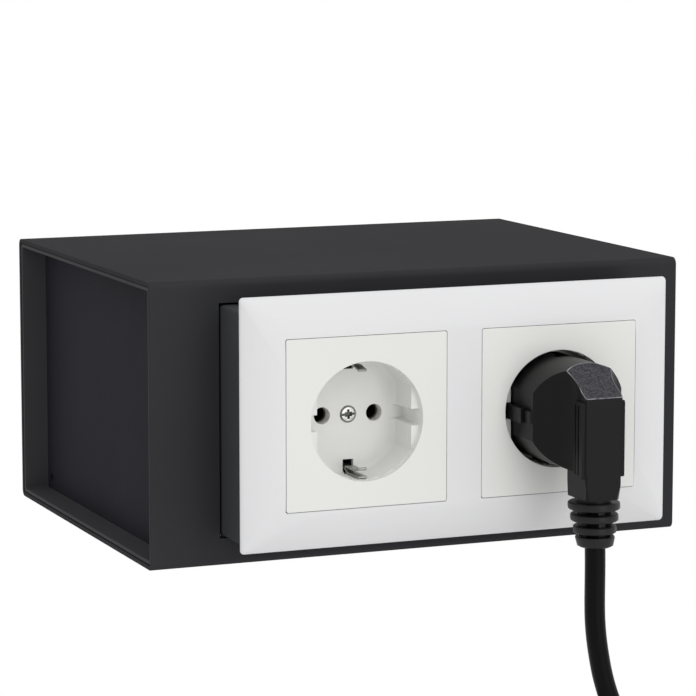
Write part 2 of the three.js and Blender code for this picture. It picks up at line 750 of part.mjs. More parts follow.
// The moulded base behind an insert: a cup with blind contact chambers and clip pockets
function socketBase(x) {
  const rim = SUPPORT_BACK + SEAT;
  const step = BASE_BACK - BASE_STEP;
  const outer = join(
    disc(BASE_RADIUS, rim, step, x, FRAME_Z, ROUND_SIDES),
    disc(BASE_REAR_RADIUS, step - OVERLAP, BASE_BACK, x, FRAME_Z, ROUND_SIDES),
  );
  const cup = disc(
    WELL_RADIUS + INSERT_WALL + SEAT,
    rim - OVERCUT,
    BASE_FRONT,
    x,
    FRAME_Z,
    ROUND_SIDES,
  );
  const chambers = [-1, 1].map((side) =>
    disc(
      SLEEVE_RADIUS + SEAT,
      BASE_FRONT - OVERCUT,
      BASE_BACK - CHAMBER_END,
      x + (side * CONTACT_PITCH) / 2,
      FRAME_Z,
      SMALL_SIDES,
    ),
  );
  const bore = join(
    disc(
      CENTRE_HOLE_RADIUS,
      BASE_FRONT - OVERCUT,
      BASE_BACK + OVERCUT,
      x,
      FRAME_Z,
      SMALL_SIDES,
    ),
    disc(
      BUSH_RADIUS + SEAT,
      BASE_BACK - BUSH_DEPTH - SEAT,
      BASE_BACK + OVERCUT,
      x,
      FRAME_Z,
      SMALL_SIDES,
    ),
  );
  const pockets = [-1, 1].map((side) =>
    clipSlot(x, side, BASE_FRONT - OVERCUT, BASE_FRONT + BASE_STEP),
  );
  return cut(outer, cup, ...chambers, bore, ...pockets);
}

// The sprung earth clip: a tail in the base and two fingers that part towards the front
function earthClip(x, side) {
  const wall = WELL_RADIUS - SEAT - CLIP_THICKNESS / 2;
  const tip = FLOOR_FRONT - WELL_DEPTH + CLIP_STOP;
  const fork = FLOOR_FRONT - CLIP_THICKNESS;
  const tail = BASE_FRONT + BASE_STEP - SEAT;
  const at = (r) => FRAME_Z + side * r;
  const outerFinger = [
    [tail, at(wall - CLIP_JOG)],
    [fork, at(wall - CLIP_JOG)],
    [fork - CLIP_TIP, at(wall)],
    [tip, at(wall)],
  ];
  const innerFinger = [
    [tail, at(wall - CLIP_JOG)],
    [fork, at(wall - CLIP_JOG)],
    [tip + CLIP_TIP, at(wall - CLIP_SPREAD)],
    [tip, at(wall - CLIP_SPREAD + CLIP_THICKNESS)],
  ];
  const strips = [outerFinger, innerFinger].map((line) =>
    prismX(bentStrip(line, CLIP_THICKNESS), x - CLIP_WIDTH / 2, x + CLIP_WIDTH / 2),
  );
  return join(...strips);
}

function contactSleeve(x) {
  const back = BASE_BACK - CHAMBER_END - SEAT;
  const wall = SLEEVE_RADIUS - SLEEVE_BORE;
  const tube = disc(SLEEVE_RADIUS, BASE_FRONT + SEAT, back, x, FRAME_Z, SMALL_SIDES);
  const bore = disc(SLEEVE_BORE, BASE_FRONT, back - wall, x, FRAME_Z, SMALL_SIDES);
  const slit = block(
    x - wall / 2,
    x + wall / 2,
    BASE_FRONT,
    back - SLEEVE_RADIUS,
    FRAME_Z,
    FRAME_Z + SLEEVE_RADIUS + OVERCUT,
  );
  return cut(tube, bore, slit);
}

// Screws and lock

function headedPin(x, z, headRadius, headFront, headHeight, radius, end) {
  const head = disc(headRadius, headFront, headFront + headHeight, x, z, SMALL_SIDES);
  const shank = disc(radius, headFront + headHeight / 2, end, x, z, SMALL_SIDES);
  const slot = block(
    x - headRadius - OVERCUT,
    x + headRadius + OVERCUT,
    headFront - OVERCUT,
    headFront + headHeight / 2,
    z - SCREW_SLOT / 2,
    z + SCREW_SLOT / 2,
  );
  return cut(join(head, shank), slot);
}

const HEAD_FRONT = FLOOR_FRONT + SCREW_SINK - SEAT - SCREW_HEAD_HEIGHT;

function spindleBush(x) {
  const front = BASE_BACK - BUSH_DEPTH;
  const back = FLANGE_FRONT + BUSH_FLANGE;
  const barrel = disc(BUSH_RADIUS, front, FLANGE_FRONT + OVERLAP, x, FRAME_Z, SMALL_SIDES);
  const flange = disc(BUSH_FLANGE_RADIUS, FLANGE_FRONT, back, x, FRAME_Z);
  const bore = disc(
    SPINDLE_RADIUS + RUNNING_FIT,
    front - OVERCUT,
    back + OVERCUT,
    x,
    FRAME_Z,
    SMALL_SIDES,
  );
  return cut(join(barrel, flange), bore);
}

// The arm points along +X while the lock is open, and turns up behind the keeper
function latchArm(x) {
  const half = ARM_TIP_WIDTH / 2;
  const blade = block(x, x + ARM_LENGTH, ARM_FRONT, ARM_BACK, FRAME_Z - half, FRAME_Z + half);
  const sweep = [ARM_FRONT - OVERCUT, ARM_BACK + OVERCUT, x, FRAME_Z];
  const tip = disc(ARM_LENGTH, ...sweep, 2 * FINE_SIDES);
  const hub = disc(ARM_HUB_RADIUS, ARM_FRONT, ARM_BACK, x, FRAME_Z);
  const bore = disc(SPINDLE_RADIUS + SEAT, ...sweep, SMALL_SIDES);
  return cut(join(blade.intersect(tip), hub), bore);
}

function spindleNut(x) {
  const across = NUT_WIDTH / 2 / Math.cos(Math.PI / 6);
  const nut = disc(across, NUT_FRONT, NUT_BACK, x, FRAME_Z, 6);
  const [low, high] = [NUT_FRONT - OVERCUT, NUT_BACK + OVERCUT];
  return cut(nut, disc(SPINDLE_RADIUS + SEAT, low, high, x, FRAME_Z, SMALL_SIDES));
}

// Plug

// The top view: a round base drawn in by a scoop on each side to a narrow web
function plugPlan(x) {
  const shape = new THREE.Shape();
  const web = NECK_WIDTH / 2;
  const scoopEnd = PLUG_SHOULDER - SCOOP_DEPTH;
  const bow = [SCOOP_WIDTH + SCOOP_BOW, PLUG_SHOULDER - SCOOP_START];
  const edge = NECK_CHAMFER;
  shape.moveTo(x + PLUG_FLAT, PLUG_BACK);
  shape.lineTo(x - PLUG_FLAT, PLUG_BACK);
  shape.lineTo(x - PLUG_FLAT, PLUG_SHOULDER);
  shape.quadraticCurveTo(x - bow[0], bow[1], x - SCOOP_WIDTH, scoopEnd);
  shape.lineTo(x - web, PLUG_FRONT + edge);
  shape.lineTo(x - web + edge, PLUG_FRONT);
  shape.lineTo(x + web - edge, PLUG_FRONT);
  shape.lineTo(x + web, PLUG_FRONT + edge);
  shape.lineTo(x + SCOOP_WIDTH, scoopEnd);
  shape.quadraticCurveTo(x + bow[0], bow[1], x + PLUG_FLAT, PLUG_SHOULDER);
  return shape;
}

// The hollowed thumb facet that slopes from the front face up to the base's round top
function thumbFacet(x) {
  const head = PLUG_RADIUS + OVERCUT;
  const slope = (PLUG_RADIUS - FACET_FOOT) / FACET_RUN;
  const outline = [
    [PLUG_FRONT - OVERCUT, FRAME_Z + FACET_FOOT - OVERCUT * slope],
    [PLUG_FRONT + FACET_RUN + OVERCUT / slope, FRAME_Z + head],
    [PLUG_FRONT - OVERCUT, FRAME_Z + head],
  ];
  return prismX(polygon(outline), x - PLUG_RADIUS, x + PLUG_RADIUS);
}

function plugNeck(x) {
  const web = NECK_WIDTH / 2;
  const tip = NECK_TIP_WIDTH / 2;
  const outline = polygon([
    [x - web, FRAME_Z],
    [x - web, FRAME_Z - PLUG_RADIUS],
    [x - tip, FRAME_Z - NECK_BOTTOM],
    [x + tip, FRAME_Z - NECK_BOTTOM],
    [x + web, FRAME_Z - PLUG_RADIUS],
    [x + web, FRAME_Z],
  ]);
  const back = PLUG_FRONT + NECK_DEPTH;
  const side = prismY(outline, PLUG_FRONT, back);
  const plan = roundedRect(x - web, x + web, PLUG_FRONT, back, NECK_CHAMFER);
  const upright = prismZ(plan, FRAME_Z - NECK_BOTTOM - OVERCUT, FRAME_Z + OVERCUT, NECK_STEPS);
  return side.intersect(upright);
}

function plugLugs(x) {
  const bar = (reach, height, y0, y1) =>
    block(x - reach, x + reach, y0, y1, FRAME_Z - height / 2, FRAME_Z + height / 2);
  const split = INSERT_FRONT - LUG_STEP;
  return join(
    bar(LUG_REACH, LUG_HEIGHT, split, PLUG_BACK),
    bar(LUG_FRONT_REACH, LUG_FRONT_HEIGHT, PLUG_SHOULDER, split + OVERLAP),
  );
}

function plugGrips(x) {
  const reach = NECK_WIDTH / 2 + GRIP_THICKNESS;
  const low = FRAME_Z - PLUG_RADIUS;
  const high = FRAME_Z + FACET_FOOT - GRIP_THICKNESS;
  const front = PLUG_FRONT + GRIP_SETBACK;
  return block(x - reach, x + reach, front, PLUG_FRONT + GRIP_DEPTH, low, high);
}

function plugBody(x) {
  const round = disc(PLUG_RADIUS, PLUG_FRONT - OVERCUT, PLUG_BACK, x, FRAME_Z, FINE_SIDES);
  const plan = prismZ(plugPlan(x), -HALF_HEIGHT, HALF_HEIGHT, SCOOP_STEPS);
  const head = cut(round.intersect(plan), thumbFacet(x));
  const pinHoles = [-1, 1].map((side) =>
    disc(
      PIN_RADIUS + SEAT,
      PLUG_BACK - PIN_ROOT - SEAT,
      PLUG_BACK + OVERCUT,
      x + (side * CONTACT_PITCH) / 2,
      FRAME_Z,
      SMALL_SIDES,
    ),
  );
  const notches = [-1, 1].map((side) => {
    const half = EARTH_NOTCH_WIDTH / 2;
    const edges = [PLUG_RADIUS - EARTH_NOTCH_DEPTH, PLUG_RADIUS + OVERCUT].map(
      (r) => FRAME_Z + side * r,
    );
    return block(
      x - half,
      x + half,
      NOTCH_FRONT,
      PLUG_BACK + OVERCUT,
      Math.min(...edges),
      Math.max(...edges),
    );
  });
  return cut(join(head, plugNeck(x), plugLugs(x), plugGrips(x)), ...pinHoles, ...notches);
}

function plugPin(x) {
  const tip = PLUG_BACK + PIN_LENGTH;
  const profile = [
    [0, PLUG_BACK - PIN_ROOT],
    [PIN_RADIUS, PLUG_BACK - PIN_ROOT],
    [PIN_RADIUS, tip - PIN_RADIUS / 2],
    [PIN_RADIUS * 0.8, tip - PIN_RADIUS / 6],
    [PIN_RADIUS * 0.4, tip],
    [0, tip],
  ];
  const points = profile.map(([r, y]) => new THREE.Vector2(r, y));
  return solidOf(new THREE.LatheGeometry(points, SMALL_SIDES).translate(x, 0, FRAME_Z));
}

// The earth strip lies on the floor of its notch
function plugEarth(x, side) {
  const half = EARTH_NOTCH_WIDTH / 2 - SEAT;
  const seat = PLUG_RADIUS - EARTH_NOTCH_DEPTH + SEAT;
  const [a, b] = [seat, seat + EARTH_STRIP].map((r) => FRAME_Z + side * r);
  const [front, back] = [NOTCH_FRONT + SEAT, PLUG_BACK - PLUG_FACE_GAP];
  return block(x - half, x + half, front, back, Math.min(a, b), Math.max(a, b));
}

// Ringed strain relief, its rings joined by four webs with windows between
const RELIEF_RINGS = [
  { drop: 2.5, radius: 8.85 },
  { drop: 6.5, radius: 8.15 },
  { drop: 10.6, radius: 7.35 },
].map(({ drop, radius }) => ({ depth: NECK_BOTTOM + drop, radius }));

function strainRelief(x) {
  const bore = CORD_RADIUS + SEAT;
  const half = RING_THICKNESS / 2;
  const lip = RING_THICKNESS / 5;
  const core = RELIEF_CORE;
  const collar = NECK_BOTTOM + RELIEF_DROP;
  const end = collar + RELIEF_COLLAR;
  const profile = [
    [bore, -end],
    [core - lip, -end],
    [core + lip, -end + 2 * lip],
    [core + 2 * lip, -collar - lip],
    [core + lip, -collar],
    [core - lip, -collar],
  ];
  for (const { depth, radius } of [...RELIEF_RINGS].reverse()) {
    profile.push(
      [core, -depth - half],
      [radius - lip, -depth - half],
      [radius, -depth - half + lip],
      [radius, -depth + half - lip],
      [radius - lip, -depth + half],
      [core, -depth + half],
    );
  }
  profile.push([core, -NECK_BOTTOM - SEAT], [bore, -NECK_BOTTOM - SEAT]);
  const body = turnedZ(profile.map(([r, z]) => [r, FRAME_Z + z]), x, CORD_Y);
  const bottoms = RELIEF_RINGS.map(({ depth }) => depth + half);
  const tops = [...RELIEF_RINGS.slice(1).map(({ depth }) => depth - half), collar];
  const windows = bottoms.flatMap((from, i) =>
    [45, 135, 225, 315].map((deg) => {
      const angle = (deg * Math.PI) / 180;
      const geometry = new THREE.BoxGeometry(core, core, tops[i] - from - RUNNING_FIT);
      const reach = (RELIEF_WEB + core) * Math.SQRT1_2;
      geometry.translate(
        x + Math.cos(angle) * reach,
        CORD_Y + Math.sin(angle) * reach,
        FRAME_Z - (from + tops[i]) / 2,
      );
      return solidOf(geometry);
    }),
  );
  return cut(body, ...windows).warp((spot) => {
    spot[0] += RELIEF_LEAN * (CORD_TOP - spot[2]);
  });
}

// Lead

// The route of the free stretch in the plane y = CORD_Y, chosen by eye, as steps
// [to the right, up] from the middle of the neck's lower end
const CORD_ROUTE = [
  [0, 0],
  [0.2, -5],
  [0.5, -11],
  [0.7, -17],
  [0.8, -23],
  [0.8, -29],
  [0.8, -35.5],
  [1, -41.8],
  [1.6, -48],
  [2.6, -54.2],
  [3.9, -60.4],
  [5.7, -66.5],
  [7.6, -71.3],
  [10, -75.9],
  [13, -80.1],
  [16.4, -84],
  [20.3, -87.6],
  [22.6, -89.5],
].map(([right, up]) => new THREE.Vector3(OUTLETS.right + right, CORD_Y, CORD_TOP + up));
const CORD_END = CORD_ROUTE.at(-1);
const CORD_LEAD = CORD_END.clone().sub(CORD_ROUTE.at(-2)).normalize();

function cordSection() {
  const shape = new THREE.Shape();
  for (let i = 0; i < CORD_SIDES; i++) {
    const angle = ((i + 0.5) * 2 * Math.PI) / CORD_SIDES;
    shape[i ? "lineTo" : "moveTo"](CORD_RADIUS * Math.cos(angle), CORD_RADIUS * Math.sin(angle));
  }
  return shape;
}

function freeCord() {
  const path = new THREE.CatmullRomCurve3(CORD_ROUTE);
  const settings = { steps: CORD_STEPS, bevelEnabled: false, extrudePath: path };
  return solidOf(new THREE.ExtrudeGeometry(cordSection(), settings));
}

// The coil hangs in the plane of the wall. Its loops spiral in and out again in layers
// and climb to the next layer in the half turn where the spiral reverses.
const COIL_START = Math.atan2(-CORD_LEAD.z, CORD_LEAD.x);
const COIL_TURNS = COIL_FULL_TURNS + (Math.PI / 2 - COIL_START) / (2 * Math.PI);
const COIL_LAYER_TURNS = COIL_TURNS / COIL_LAYERS;

function coilRadius(turn) {
  const layer = turn / COIL_LAYER_TURNS;
  const share = layer % 2 < 1 ? layer % 2 : 2 - (layer % 2);
  return COIL_OUTER - share * (COIL_OUTER - COIL_INNER);
}

function coilLayer(turn) {
  let layer = 0;
  for (let i = 1; i < COIL_LAYERS; i++) {
    const share = THREE.MathUtils.clamp((turn - i * COIL_LAYER_TURNS) / 0.5 + 0.5, 0, 1);
    layer += share * share * (3 - 2 * share);
  }
  return layer;
}

function coilLine() {
  const first = CORD_END.clone().addScaledVector(CORD_LEAD, SEAT);
  const entry = first.clone().addScaledVector(CORD_LEAD, 2 * CORD_RADIUS);
  const centreX = entry.x - COIL_OUTER * Math.sin(COIL_START);
  const centreZ = entry.z - COIL_OUTER * Math.cos(COIL_START);
  const line = [first];
  const steps = Math.round(COIL_TURNS * LOOP_STEPS);
  for (let i = 0; i <= steps; i++) {
    const turn = (i / steps) * COIL_TURNS;
    const angle = COIL_START + turn * 2 * Math.PI;
    const radius = coilRadius(turn);
    line.push(
      new THREE.Vector3(
        centreX + radius * Math.sin(angle),
        CORD_Y + coilLayer(turn) * COIL_LAYER_PITCH,
        centreZ + radius * Math.cos(angle),
      ),
    );
  }
  line.push(line.at(-1).clone().add(new THREE.Vector3(0, 0, -TAIL_LENGTH)));
  return { line, centreX, centreZ };
}

// One unbroken tube of flat-sided rings along a line, with its ends closed
function tube(line, radius, sides) {
  const spots = [];
  const corners = [];
  line.forEach((p, i) => {
    const ahead = line[Math.min(i + 1, line.length - 1)];
    const behind = line[Math.max(i - 1, 0)];
    const along = ahead.clone().sub(behind).normalize();
    const across = new THREE.Vector3(0, 1, 0).addScaledVector(along, -along.y).normalize();
    const other = along.clone().cross(across);
    for (let k = 0; k < sides; k++) {
      const angle = ((k + 0.5) * 2 * Math.PI) / sides;
      const spot = p
        .clone()
        .addScaledVector(across, radius * Math.cos(angle))
        .addScaledVector(other, radius * Math.sin(angle));
      spots.push(spot.x, spot.y, spot.z);
    }
  });
  const rings = line.length;
  for (let i = 0; i + 1 < rings; i++) {
    for (let k = 0; k < sides; k++) {
      const next = (k + 1) % sides;
      const [a, b] = [i * sides + k, i * sides + next];
      const [c, d] = [b + sides, a + sides];
      corners.push(a, b, c, a, c, d);
    }
  }
  for (let k = 1; k + 1 < sides; k++) {
    corners.push(0, k + 1, k);
    const end = (rings - 1) * sides;
    corners.push(end, end + k, end + k + 1);
  }
  const geometry = new THREE.BufferGeometry();
  geometry.setAttribute("position", new THREE.Float32BufferAttribute(spots, 3));
  geometry.setIndex(corners);
  return solidOf(geometry);
}

// The least distance between two stretches of the line that lie more than half a loop apart
function leastGap(line, diameter) {
  let least = Infinity;
  for (let i = 0; i < line.length; i++) {
    for (let j = i + LOOP_STEPS / 2; j < line.length; j++) {
      least = Math.min(least, line[i].distanceTo(line[j]) - diameter);
    }
  }
  return least;
}

const coil = coilLine();
console.log(`cord_coil: least gap to itself ${leastGap(coil.line, 2 * CORD_RADIUS).toFixed(2)} mm`);

// The tie is a strap closed round the bundle at the top of the coil
function cordTie() {
  const near = coil.line
    .slice(1, -1)
    .filter((p) => p.z > coil.centreZ && Math.abs(p.x - coil.centreX) < TIE_WIDTH);
  const radii = near.map((p) => Math.hypot(p.x - coil.centreX, p.z - coil.centreZ));
  const depths = near.map((p) => p.y);
  const clear = CORD_RADIUS + SEAT;
  const low = coil.centreZ + Math.min(...radii) - clear - TIE_SLACK;
  const high = coil.centreZ + Math.max(...radii) + clear;
  const front = Math.min(...depths) - clear;
  const back = Math.max(...depths) + clear;
  const t = TIE_THICKNESS;
  const outline = roundedRect(front - t, back + t, low - t, high + t, TIE_CORNER + t);
  outline.holes.push(roundedRect(front, back, low, high, TIE_CORNER));
  const half = TIE_WIDTH / 2;
  return prismX(outline, coil.centreX - half, coil.centreX + half);
}

const TAIL = coil.line.at(-1);
const RELIEF_TOP = TAIL.z - SEAT;

function connectorRelief() {
  const low = RELIEF_TOP - CONNECTOR_RELIEF;
  const wide = CORD_RADIUS * 2;
  const narrow = CORD_RADIUS * 1.3;
  const profile = [
    [0, low],
    [wide, low],
    [wide * 0.92, low + wide / 2],
    [narrow, RELIEF_TOP],
    [0, RELIEF_TOP],
  ];
  return turnedZ(profile, TAIL.x, TAIL.y);
}

// The appliance connector: a six-sided nose with a stepped shoulder and three slots
function connectorBody() {
  const top = RELIEF_TOP - CONNECTOR_RELIEF - SEAT;
  const low = top - CONNECTOR_LENGTH;
  const shoulder = top - CONNECTOR_HOOD;
  const [w, d] = [CONNECTOR_WIDTH / 2, CONNECTOR_DEPTH / 2];
  const { x, y } = TAIL;
  const section = (halfW, halfD) =>
    polygon([
      [x - halfW, y + halfD],
      [x + halfW, y + halfD],
      [x + halfW, y - halfD + CONNECTOR_CORNER],
      [x + halfW - CONNECTOR_CORNER, y - halfD],
      [x - halfW + CONNECTOR_CORNER, y - halfD],
      [x - halfW, y - halfD + CONNECTOR_CORNER],
    ]);
  const step = CONNECTOR_STEP;
  const nose = prismZ(section(w - step, d - step), low, shoulder + OVERLAP);
  const hood = prismZ(section(w, d), shoulder, top);
  const slots = CONNECTOR_SLOTS.map(([dx, dy]) =>
    block(
      x + dx - SLOT_WIDTH / 2,
      x + dx + SLOT_WIDTH / 2,
      y + dy - SLOT_WIDTH,
      y + dy + SLOT_WIDTH,
      low - OVERCUT,
      low + CONNECTOR_LENGTH / 2,
    ),
  );
  return cut(join(nose, hood), ...slots);
}

// Assembly

addPiece("casing_sleeve", casingSleeve(), MATERIALS.casing);
for (const [name, side] of [["left", -1], ["right", 1]]) {
  addPiece(`end_pan_${name}`, endPan(side), MATERIALS.pan);
  addPiece(`guide_rail_${name}`, guideRail(side), MATERIALS.zinc);
  addPiece(`top_guide_${name}`, topGuide(side), MATERIALS.zinc);
}
addPiece("latch_keeper", roofBracket(OUTLETS.left, KEEPER_WIDTH, KEEPER_BACK), MATERIALS.zinc);
addPiece("drawer_stop", roofBracket(DRAWER_X, STOP_WIDTH, STOP_BACK), MATERIALS.zinc);

addPiece("drawer_tray", drawerTray(), MATERIALS.tray);
addPiece("drawer_bulkhead", drawerBulkhead(), MATERIALS.tray);
addPiece("cover_frame", coverFrame(), MATERIALS.cover);
for (const [name, x] of Object.entries(OUTLETS)) {
  addPiece(`outlet_insert_${name}`, outletInsert(x), MATERIALS.insert);
  addPiece(`support_plate_${name}`, supportPlate(x), MATERIALS.zinc);
  addPiece(`socket_base_${name}`, socketBase(x), MATERIALS.base);
  addPiece(`earth_clip_upper_${name}`, earthClip(x, 1), MATERIALS.nickel);
  addPiece(`earth_clip_lower_${name}`, earthClip(x, -1), MATERIALS.nickel);
  const half = CONTACT_PITCH / 2;
  addPiece(`contact_sleeve_a_${name}`, contactSleeve(x - half), MATERIALS.brass);
  addPiece(`contact_sleeve_b_${name}`, contactSleeve(x + half), MATERIALS.brass);
}
for (const { name, x, z } of plateScrewPlaces()) {
  const front = SUPPORT_FRONT - SEAT - PLATE_SCREW_HEIGHT;
  const end = SUPPORT_FRONT + PLATE_SCREW_LENGTH;
  const head = [PLATE_SCREW_HEAD, front, PLATE_SCREW_HEIGHT];
  const screw = headedPin(x, z, ...head, PLATE_SCREW_RADIUS, end);
  addPiece(name, screw, MATERIALS.zinc);
}
const screwHead = [SCREW_HEAD_RADIUS, HEAD_FRONT, SCREW_HEAD_HEIGHT];
addPiece(
  "centre_screw_right",
  headedPin(OUTLETS.right, FRAME_Z, ...screwHead, SPINDLE_RADIUS, SCREW_END),
  MATERIALS.nickel,
);
addPiece("spindle_bush", spindleBush(OUTLETS.left), MATERIALS.brass);
addPiece(
  "lock_spindle",
  headedPin(OUTLETS.left, FRAME_Z, ...screwHead, SPINDLE_RADIUS, NUT_BACK + SPINDLE_TAIL),
  MATERIALS.nickel,
);
addPiece("latch_arm", latchArm(OUTLETS.left), MATERIALS.zinc);
addPiece("spindle_nut", spindleNut(OUTLETS.left), MATERIALS.zinc);

addPiece("plug_body", plugBody(OUTLETS.right), MATERIALS.plug);
addPiece("plug_pin_left", plugPin(OUTLETS.right - CONTACT_PITCH / 2), MATERIALS.nickel);
addPiece("plug_pin_right", plugPin(OUTLETS.right + CONTACT_PITCH / 2), MATERIALS.nickel);
addPiece("plug_earth_upper", plugEarth(OUTLETS.right, 1), MATERIALS.nickel);
addPiece("plug_earth_lower", plugEarth(OUTLETS.right, -1), MATERIALS.nickel);
addPiece("strain_relief", strainRelief(OUTLETS.right), MATERIALS.plug);
addPiece("cord", freeCord(), MATERIALS.cord);
addPiece("cord_coil", tube(coil.line, CORD_RADIUS, LOOP_SIDES), MATERIALS.cord);
addPiece("cord_tie", cordTie(), MATERIALS.tie);
addPiece("connector_relief", connectorRelief(), MATERIALS.plug);
addPiece("connector_body", connectorBody(), MATERIALS.plug);

export default group;
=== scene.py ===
# %% [markdown]
# # A drawer safe behind a double power outlet
# A steel casing sits in the wall. Its drawer carries an outlet cover in front, so a shut safe
# looks like two power outlets, and the plug in the right outlet is the drawer's handle. The
# measured model is loaded as a fixed frame, and this lesson dresses it with finer shapes and
# with the finish of each material.

import json
import math
from contextlib import contextmanager

import bmesh
import bpy
from mathutils import Matrix, Vector


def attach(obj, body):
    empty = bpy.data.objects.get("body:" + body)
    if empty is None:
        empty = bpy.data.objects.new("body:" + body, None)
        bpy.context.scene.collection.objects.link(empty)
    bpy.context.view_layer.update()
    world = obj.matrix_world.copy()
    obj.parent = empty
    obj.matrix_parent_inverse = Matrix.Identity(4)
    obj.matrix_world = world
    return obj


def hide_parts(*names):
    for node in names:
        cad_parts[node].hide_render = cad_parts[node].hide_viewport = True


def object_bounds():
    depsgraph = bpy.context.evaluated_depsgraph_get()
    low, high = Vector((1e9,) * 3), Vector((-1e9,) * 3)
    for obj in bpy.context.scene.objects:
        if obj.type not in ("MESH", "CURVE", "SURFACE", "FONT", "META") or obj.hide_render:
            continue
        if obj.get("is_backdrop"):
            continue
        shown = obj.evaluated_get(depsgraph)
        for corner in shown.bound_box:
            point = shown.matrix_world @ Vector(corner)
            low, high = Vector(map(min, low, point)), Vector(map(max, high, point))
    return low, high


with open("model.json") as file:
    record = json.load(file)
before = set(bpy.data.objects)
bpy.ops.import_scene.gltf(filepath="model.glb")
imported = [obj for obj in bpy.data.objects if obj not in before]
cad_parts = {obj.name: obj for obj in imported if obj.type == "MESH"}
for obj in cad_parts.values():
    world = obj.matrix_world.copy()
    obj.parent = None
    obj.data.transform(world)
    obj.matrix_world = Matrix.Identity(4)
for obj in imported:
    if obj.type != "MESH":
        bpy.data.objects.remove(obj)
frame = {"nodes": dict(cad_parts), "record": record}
model_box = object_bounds()
record = frame["record"]

# %% [markdown]
# ## Sizes
# The drawings of the object are in millimetres, and Blender works in metres. All shapes here
# are written in millimetres and scaled once, when a mesh is made. The planes that several
# pieces share along Y are named once, so that a piece and its neighbour agree.

# %% Shared sizes
MM = 0.001
OUTLET_X = {"left": -32.1, "right": 38.9}
DRAWER_X = 3.4
COVER_Z = 2.5
COVER_BACK = -170.6
COVER_RIM = -172.6
COVER_FACE = -178.4
INSERT_FACE = -178.6
WELL_FLOOR = -161.6
CONTACT_OFFSET = 9.5
EARTH_OFFSET = 15.5
PLUG_BACK = -162.6
PLUG_SHOULDER = -192.3
PLUG_FRONT = -212.5
CORD_Y = -205.25
CORD_TOP = -23.9
CORD_RADIUS = 3.5
RELIEF_LEAN = 0.045
PITCH = OUTLET_X["right"] - OUTLET_X["left"]
print("outlets", round(PITCH, 1), "mm apart, wells", round(WELL_FLOOR - INSERT_FACE, 1),
      "mm deep, plug", round(INSERT_FACE - PLUG_FRONT, 1), "mm proud")

# %% [markdown]
# ## Camera
# The photo was taken from the left and a little above, with a long lens. A camera is placed by
# its matrix: the columns are its right, its up and its backward direction, and the last one is
# its place. The focal length comes from the same fit, for a sensor 36 mm wide.

# %% Camera at the photo's viewpoint
def shown(name, data):
    """A new object at the origin, in the scene."""
    made = bpy.data.objects.new(name, data)
    bpy.context.scene.collection.objects.link(made)
    return made


camera_data = bpy.data.cameras.new("photo_camera")
camera_data.sensor_width = 36
camera_data.lens = 165.44
camera_data.clip_end = 20
camera = shown("photo_camera", camera_data)
forward = Vector((0.3779, 0.9150, -0.1414)).normalized()
right = Vector((0.9243, -0.3817, 0.0)).normalized()
up = right.cross(forward).normalized()
right = forward.cross(up)
turn = Matrix((right, up, -forward)).transposed()
camera.matrix_world = Matrix.Translation((-0.4393, -1.1475, 0.1774)) @ turn.to_4x4()
bpy.context.scene.camera = camera
bpy.context.scene.view_settings.view_transform = "Standard"
print("camera stands", round(camera.location.length, 2), "m from the wall seat")

# %% [markdown]
# ## Mesh tools
# Most pieces of this object are machined or moulded, so they are easiest to build the way they
# are made: an outline is given a thickness, blocks are joined, and holes are cut. `edited` opens
# a mesh and writes it back, `solid` turns faces into an object, `lofted` closes a skin over a row
# of rings, `slab` extrudes an outline along one axis, and `turned` spins a profile.

# %% From points to a closed object
TOUCHING = 1e-7


@contextmanager
def edited(mesh):
    """Opens a mesh for editing and writes it back at the end."""
    shape = bmesh.new()
    shape.from_mesh(mesh)
    yield shape
    shape.to_mesh(mesh)
    shape.free()


def solid(name, spots, faces):
    mesh = bpy.data.meshes.new(name)
    mesh.from_pydata([Vector(p) * MM for p in spots], [], faces)
    with edited(mesh) as shape:
        bmesh.ops.remove_doubles(shape, verts=shape.verts, dist=TOUCHING)
        bmesh.ops.recalc_face_normals(shape, faces=shape.faces)
    return shown(name, mesh)


def lofted(name, rings, closed=False):
    """A skin over rings of equal length, either filled at its ends or closed to a loop."""
    count, total = len(rings[0]), len(rings[0]) * len(rings)
    faces = [] if closed else [list(range(count))[::-1], list(range(total - count, total))]
    for k in range(len(rings) if closed else len(rings) - 1):
        for i in range(count):
            a, b = k * count + i, k * count + (i + 1) % count
            faces.append([a, b, (b + count) % total, (a + count) % total])
    return solid(name, [p for ring in rings for p in ring], faces)


def slab(name, outline, low, high, axis="y"):
    """An outline of (a, b) points, extruded from low to high along x, y or z."""
    def spot(a, b, h):
        return {"x": (h, a, b), "y": (a, h, b), "z": (a, b, h)}[axis]
    return lofted(name, [[spot(a, b, h) for a, b in outline] for h in (low, high)])


def box(name, x0, x1, y0, y1, z0, z1):
    """A block between two values along each axis, in either order."""
    (x0, x1), (y0, y1), (z0, z1) = sorted((x0, x1)), sorted((y0, y1)), sorted((z0, z1))
    return slab(name, [(x0, z0), (x1, z0), (x1, z1), (x0, z1)], y0, y1)


def arc(cx, cy, r, start, end, steps):
    angles = [math.radians(start + (end - start) * i / steps) for i in range(steps + 1)]
    return [(cx + r * math.cos(a), cy + r * math.sin(a)) for a in angles]


def rounded(x0, x1, z0, z1, r, steps=6):
    corners = [(x1 - r, z0 + r, -90), (x1 - r, z1 - r, 0),
               (x0 + r, z1 - r, 90), (x0 + r, z0 + r, 180)]
    return [p for cx, cz, a in corners for p in arc(cx, cz, r, a, a + 90, steps)]


